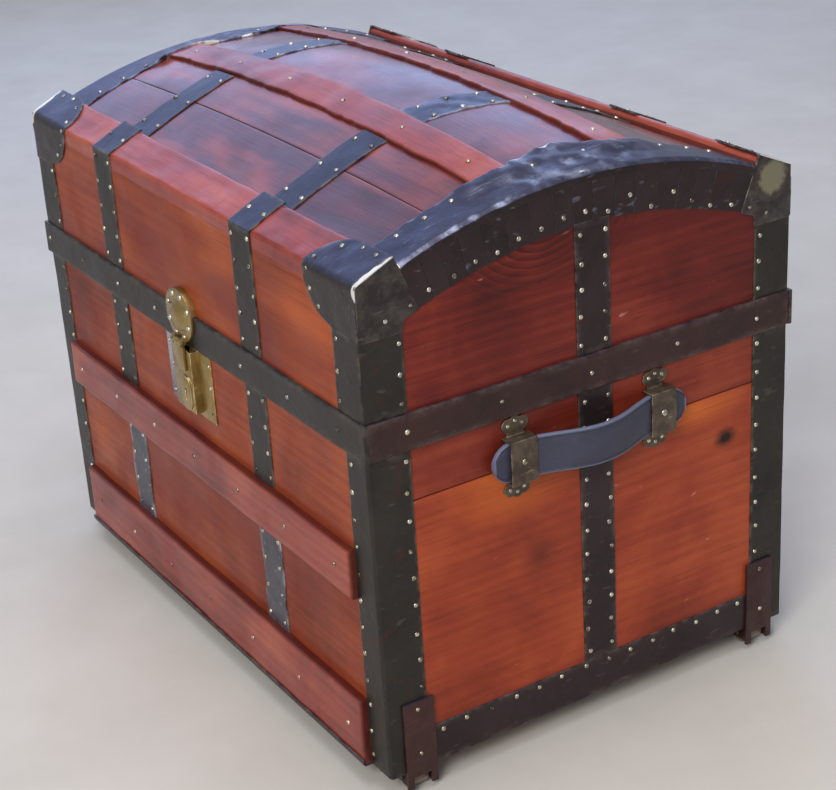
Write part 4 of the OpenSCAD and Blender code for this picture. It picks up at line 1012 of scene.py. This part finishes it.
def nails():
    case, lid = [], []
    front, end = -HALF_D - BAND_T + 0.2, HALF_L + BAND_T - 0.2
    rim_end, rim_z, post_y, lobe = HALF_L + RIM_T - 0.4, 412.5, -224, 42
    case_top, lid_low = 380, 444
    for fx, fy in CORNERS:
        f = np.array([fx, fy, 1.0])
        out, side = (0, -fy, 0), (fx, 0, 0)
        case += row((351, front, 41), (351, front, case_top), out, f)
        case += row((end, post_y, 125), (end, post_y, case_top), side, f)
        case += [(np.array([end + 3, -230, z]) * f, side) for z in (47, 101)]
        lid += row((342, front, lid_low), (342, front, 509), out, f)
        lid += row((end, post_y, lid_low), (end, post_y, 504), side, f)
        for angle in (185, 212, 240):
            a = radians(angle)
            lid.append((np.array([CAP_X + lobe * cos(a), front, 571 + lobe * sin(a)]) * f, out))
        for x, s in ((298, 10), (314, 32), (340, 41), (366, 41)):
            lid.append((on_slope(x, s, BAND_T) * f, (0, -SLOPE_DIR[1] * fy, SLOPE_DIR[0])))
    for fx in SIDES:
        side = (fx, 0, 0)
        for y in (-9.5, 21.5):
            case += row((fx * end, y, 84), (fx * end, y, case_top), side)
            lid += row((fx * end, y, lid_low), (fx * end, y, 560), side)
        case += row((fx * end, 200, 65), (fx * end, -200, 65), side)
        for a in np.linspace(-EDGE_A + 1.5, EDGE_A - 1.5, 19):
            r = ARCH_IN + 8 + rng.choice([-2.5, 0, 3, 11], p=[0.3, 0.35, 0.2, 0.15])
            lid.append(((fx * (end - 0.4), *round_arch(r, a)), side))
        lid += [dome_spot(fx * 341.0, i * 3.1, SEAT + BAND_T) for i in range(-6, 7)]
        lid += [((fx * rim_end, i * 110, rim_z), side) for i in range(-2, 3)]
    for fy in SIDES:
        out = (0, -fy, 0)
        for u in STRAP_NAILS:
            for z0, z1, group in ((115, 217, case), (292, 383, case), (442, 561, lid)):
                group += row((u, fy * front, z0), (u, fy * front, z1), out)
            lid.append((on_slope(u, 24, BAND_T + 0.1) * [1, fy, 1], (0, -SLOPE_DIR[1] * fy, SLOPE_DIR[0])))
            lid += [dome_spot(u, -a * fy, SEAT + BAND_T) for a in (11, 15.3, 19.5)]
        slat_y = fy * (-HALF_D - SIDE_SLAT_T + 0.4)
        case += [((i * 105, slat_y, z), out) for i in range(-3, 4) for z in (254.5, 66)]
    for u in STRAP_NAILS:
        lid += [dome_spot(u, a, SEAT + BAND_T + 0.1) for a in (-3.6, 0, 3.6)]
    for side in SIDES:
        lid += [dome_spot(i * 118, side * SLAT_MID_A, SEAT + UPPER_SLAT_T - 0.3) for i in np.arange(-2.5, 3)]
        case += [((LOCK_X + side * 48, -HALF_D - 1.4, z), (0, -1, 0)) for z in (319, 353, 379)]
    rim_front = HALF_D + RIM_T - 0.4
    lid += [((i * 102 - 18, -rim_front, rim_z), (0, -1, 0)) for i in (-3.5, -2.5, -1.5, -0.5, 1.5, 2.5, 3.5)]
    lid += [((i * 120, rim_front, rim_z), (0, 1, 0)) for i in (-1.5, -0.5, 0.5, 1.5)]
    for x in (-230, -270, 270, 230):
        case.append(((x, HALF_D + BAND_T, 369), (0, 1, 0)))
        lid.append(((x, HALF_D + BAND_T, 417), (0, 1, 0)))
    small = [((fx * end, HANDLE_Y + fy * 89 + y, HANDLE_Z + up * z), (fx, 0, 0)) for fx, fy in CORNERS
             for up in SIDES for y, z in ((-8.5, 35.7), (8.5, 35.7), (0, 39.5))]
    piece("case_nail_heads", heads(case) + heads(small, 2.4, 1.3, 10, 0.3), "trunk", NAIL, "body_nails")
    piece("lid_nail_heads", heads(lid), "lid", NAIL, "lid_nails")


def dome_spot(x, angle, h):
    """A place and direction on the crowned dome."""
    at = dome_at(x, angle, h)
    return at, np.cross(dome_at(x + 1, angle, h) - at, dome_at(x, angle + 0.1, h) - at)


boards()
dome()
side_slats()
corner_bands()
end_bands()
rims()
straps()
arches()
caps()
handles()
fittings()
nails()

# ---------- floor, light and camera ----------

scene = bpy.context.scene


def floor():
    mesh = bpy.data.meshes.new("studio_floor")
    turn = np.linspace(0, 2 * pi, 48, endpoint=False)
    mesh.from_pydata([(40 * cos(a), 40 * sin(a), 0) for a in turn], [], [list(range(48))])
    f = Finish("pale_floor")
    speck = f.noise(7, 6, 0.6)
    mesh.materials.append(f.finish(f.ramp(speck, (0.3, (196, 192, 186)), (0.7, (206, 202, 197))), 0.85,
                                   speck, 0.05, 0.001))
    made = bpy.data.objects.new("studio_floor", mesh)
    scene.collection.objects.link(made)


def softbox(name, place, aim, size, power, tone):
    lamp = bpy.data.lights.new(name, "AREA")
    lamp.shape = "RECTANGLE"
    lamp.size, lamp.size_y = size
    lamp.energy = power
    lamp.color = tone
    made = bpy.data.objects.new(name, lamp)
    made.location = place
    made.rotation_mode = "QUATERNION"
    made.rotation_quaternion = (Vector(aim) - Vector(place)).to_track_quat("-Z", "Y")
    scene.collection.objects.link(made)


floor()
softbox("softbox_back_left", (-2.9, 1.1, 2.0), (0, 0, 0.6), (3.4, 2.0), 36, (0.38, 0.52, 1.0))
softbox("softbox_top", (0.3, -0.2, 3.4), (0, 0, 0.4), (2.2, 2.2), 46, (1.0, 0.96, 0.95))
softbox("softbox_key", (2.4, -2.9, 2.8), (0, 0, 0.3), (1.6, 1.6), 112, (1.0, 0.95, 0.88))
world = bpy.data.worlds.new("studio")
world.use_nodes = True
world.node_tree.nodes["Background"].inputs[0].default_value = (0.80, 0.86, 0.95, 1)
world.node_tree.nodes["Background"].inputs[1].default_value = 0.5
scene.world = world
scene.view_settings.view_transform = "Standard"

azimuth, elevation, roll = radians(58.88), radians(24.67), radians(-3.69)
back = Vector((sin(azimuth) * cos(elevation), -cos(azimuth) * cos(elevation), sin(elevation)))
right = Vector((cos(azimuth), sin(azimuth), 0))
up = back.cross(right)
turned_right = cos(roll) * right + sin(roll) * up
turned_up = -sin(roll) * right + cos(roll) * up
lens = bpy.data.cameras.new("camera")
lens.lens, lens.sensor_width = 82.2, 36
camera = bpy.data.objects.new("camera", lens)
camera.matrix_world = Matrix((turned_right, turned_up, back)).transposed().to_4x4()
camera.location = (1.7999, -1.0596, 1.2065)
scene.collection.objects.link(camera)
scene.camera = camera
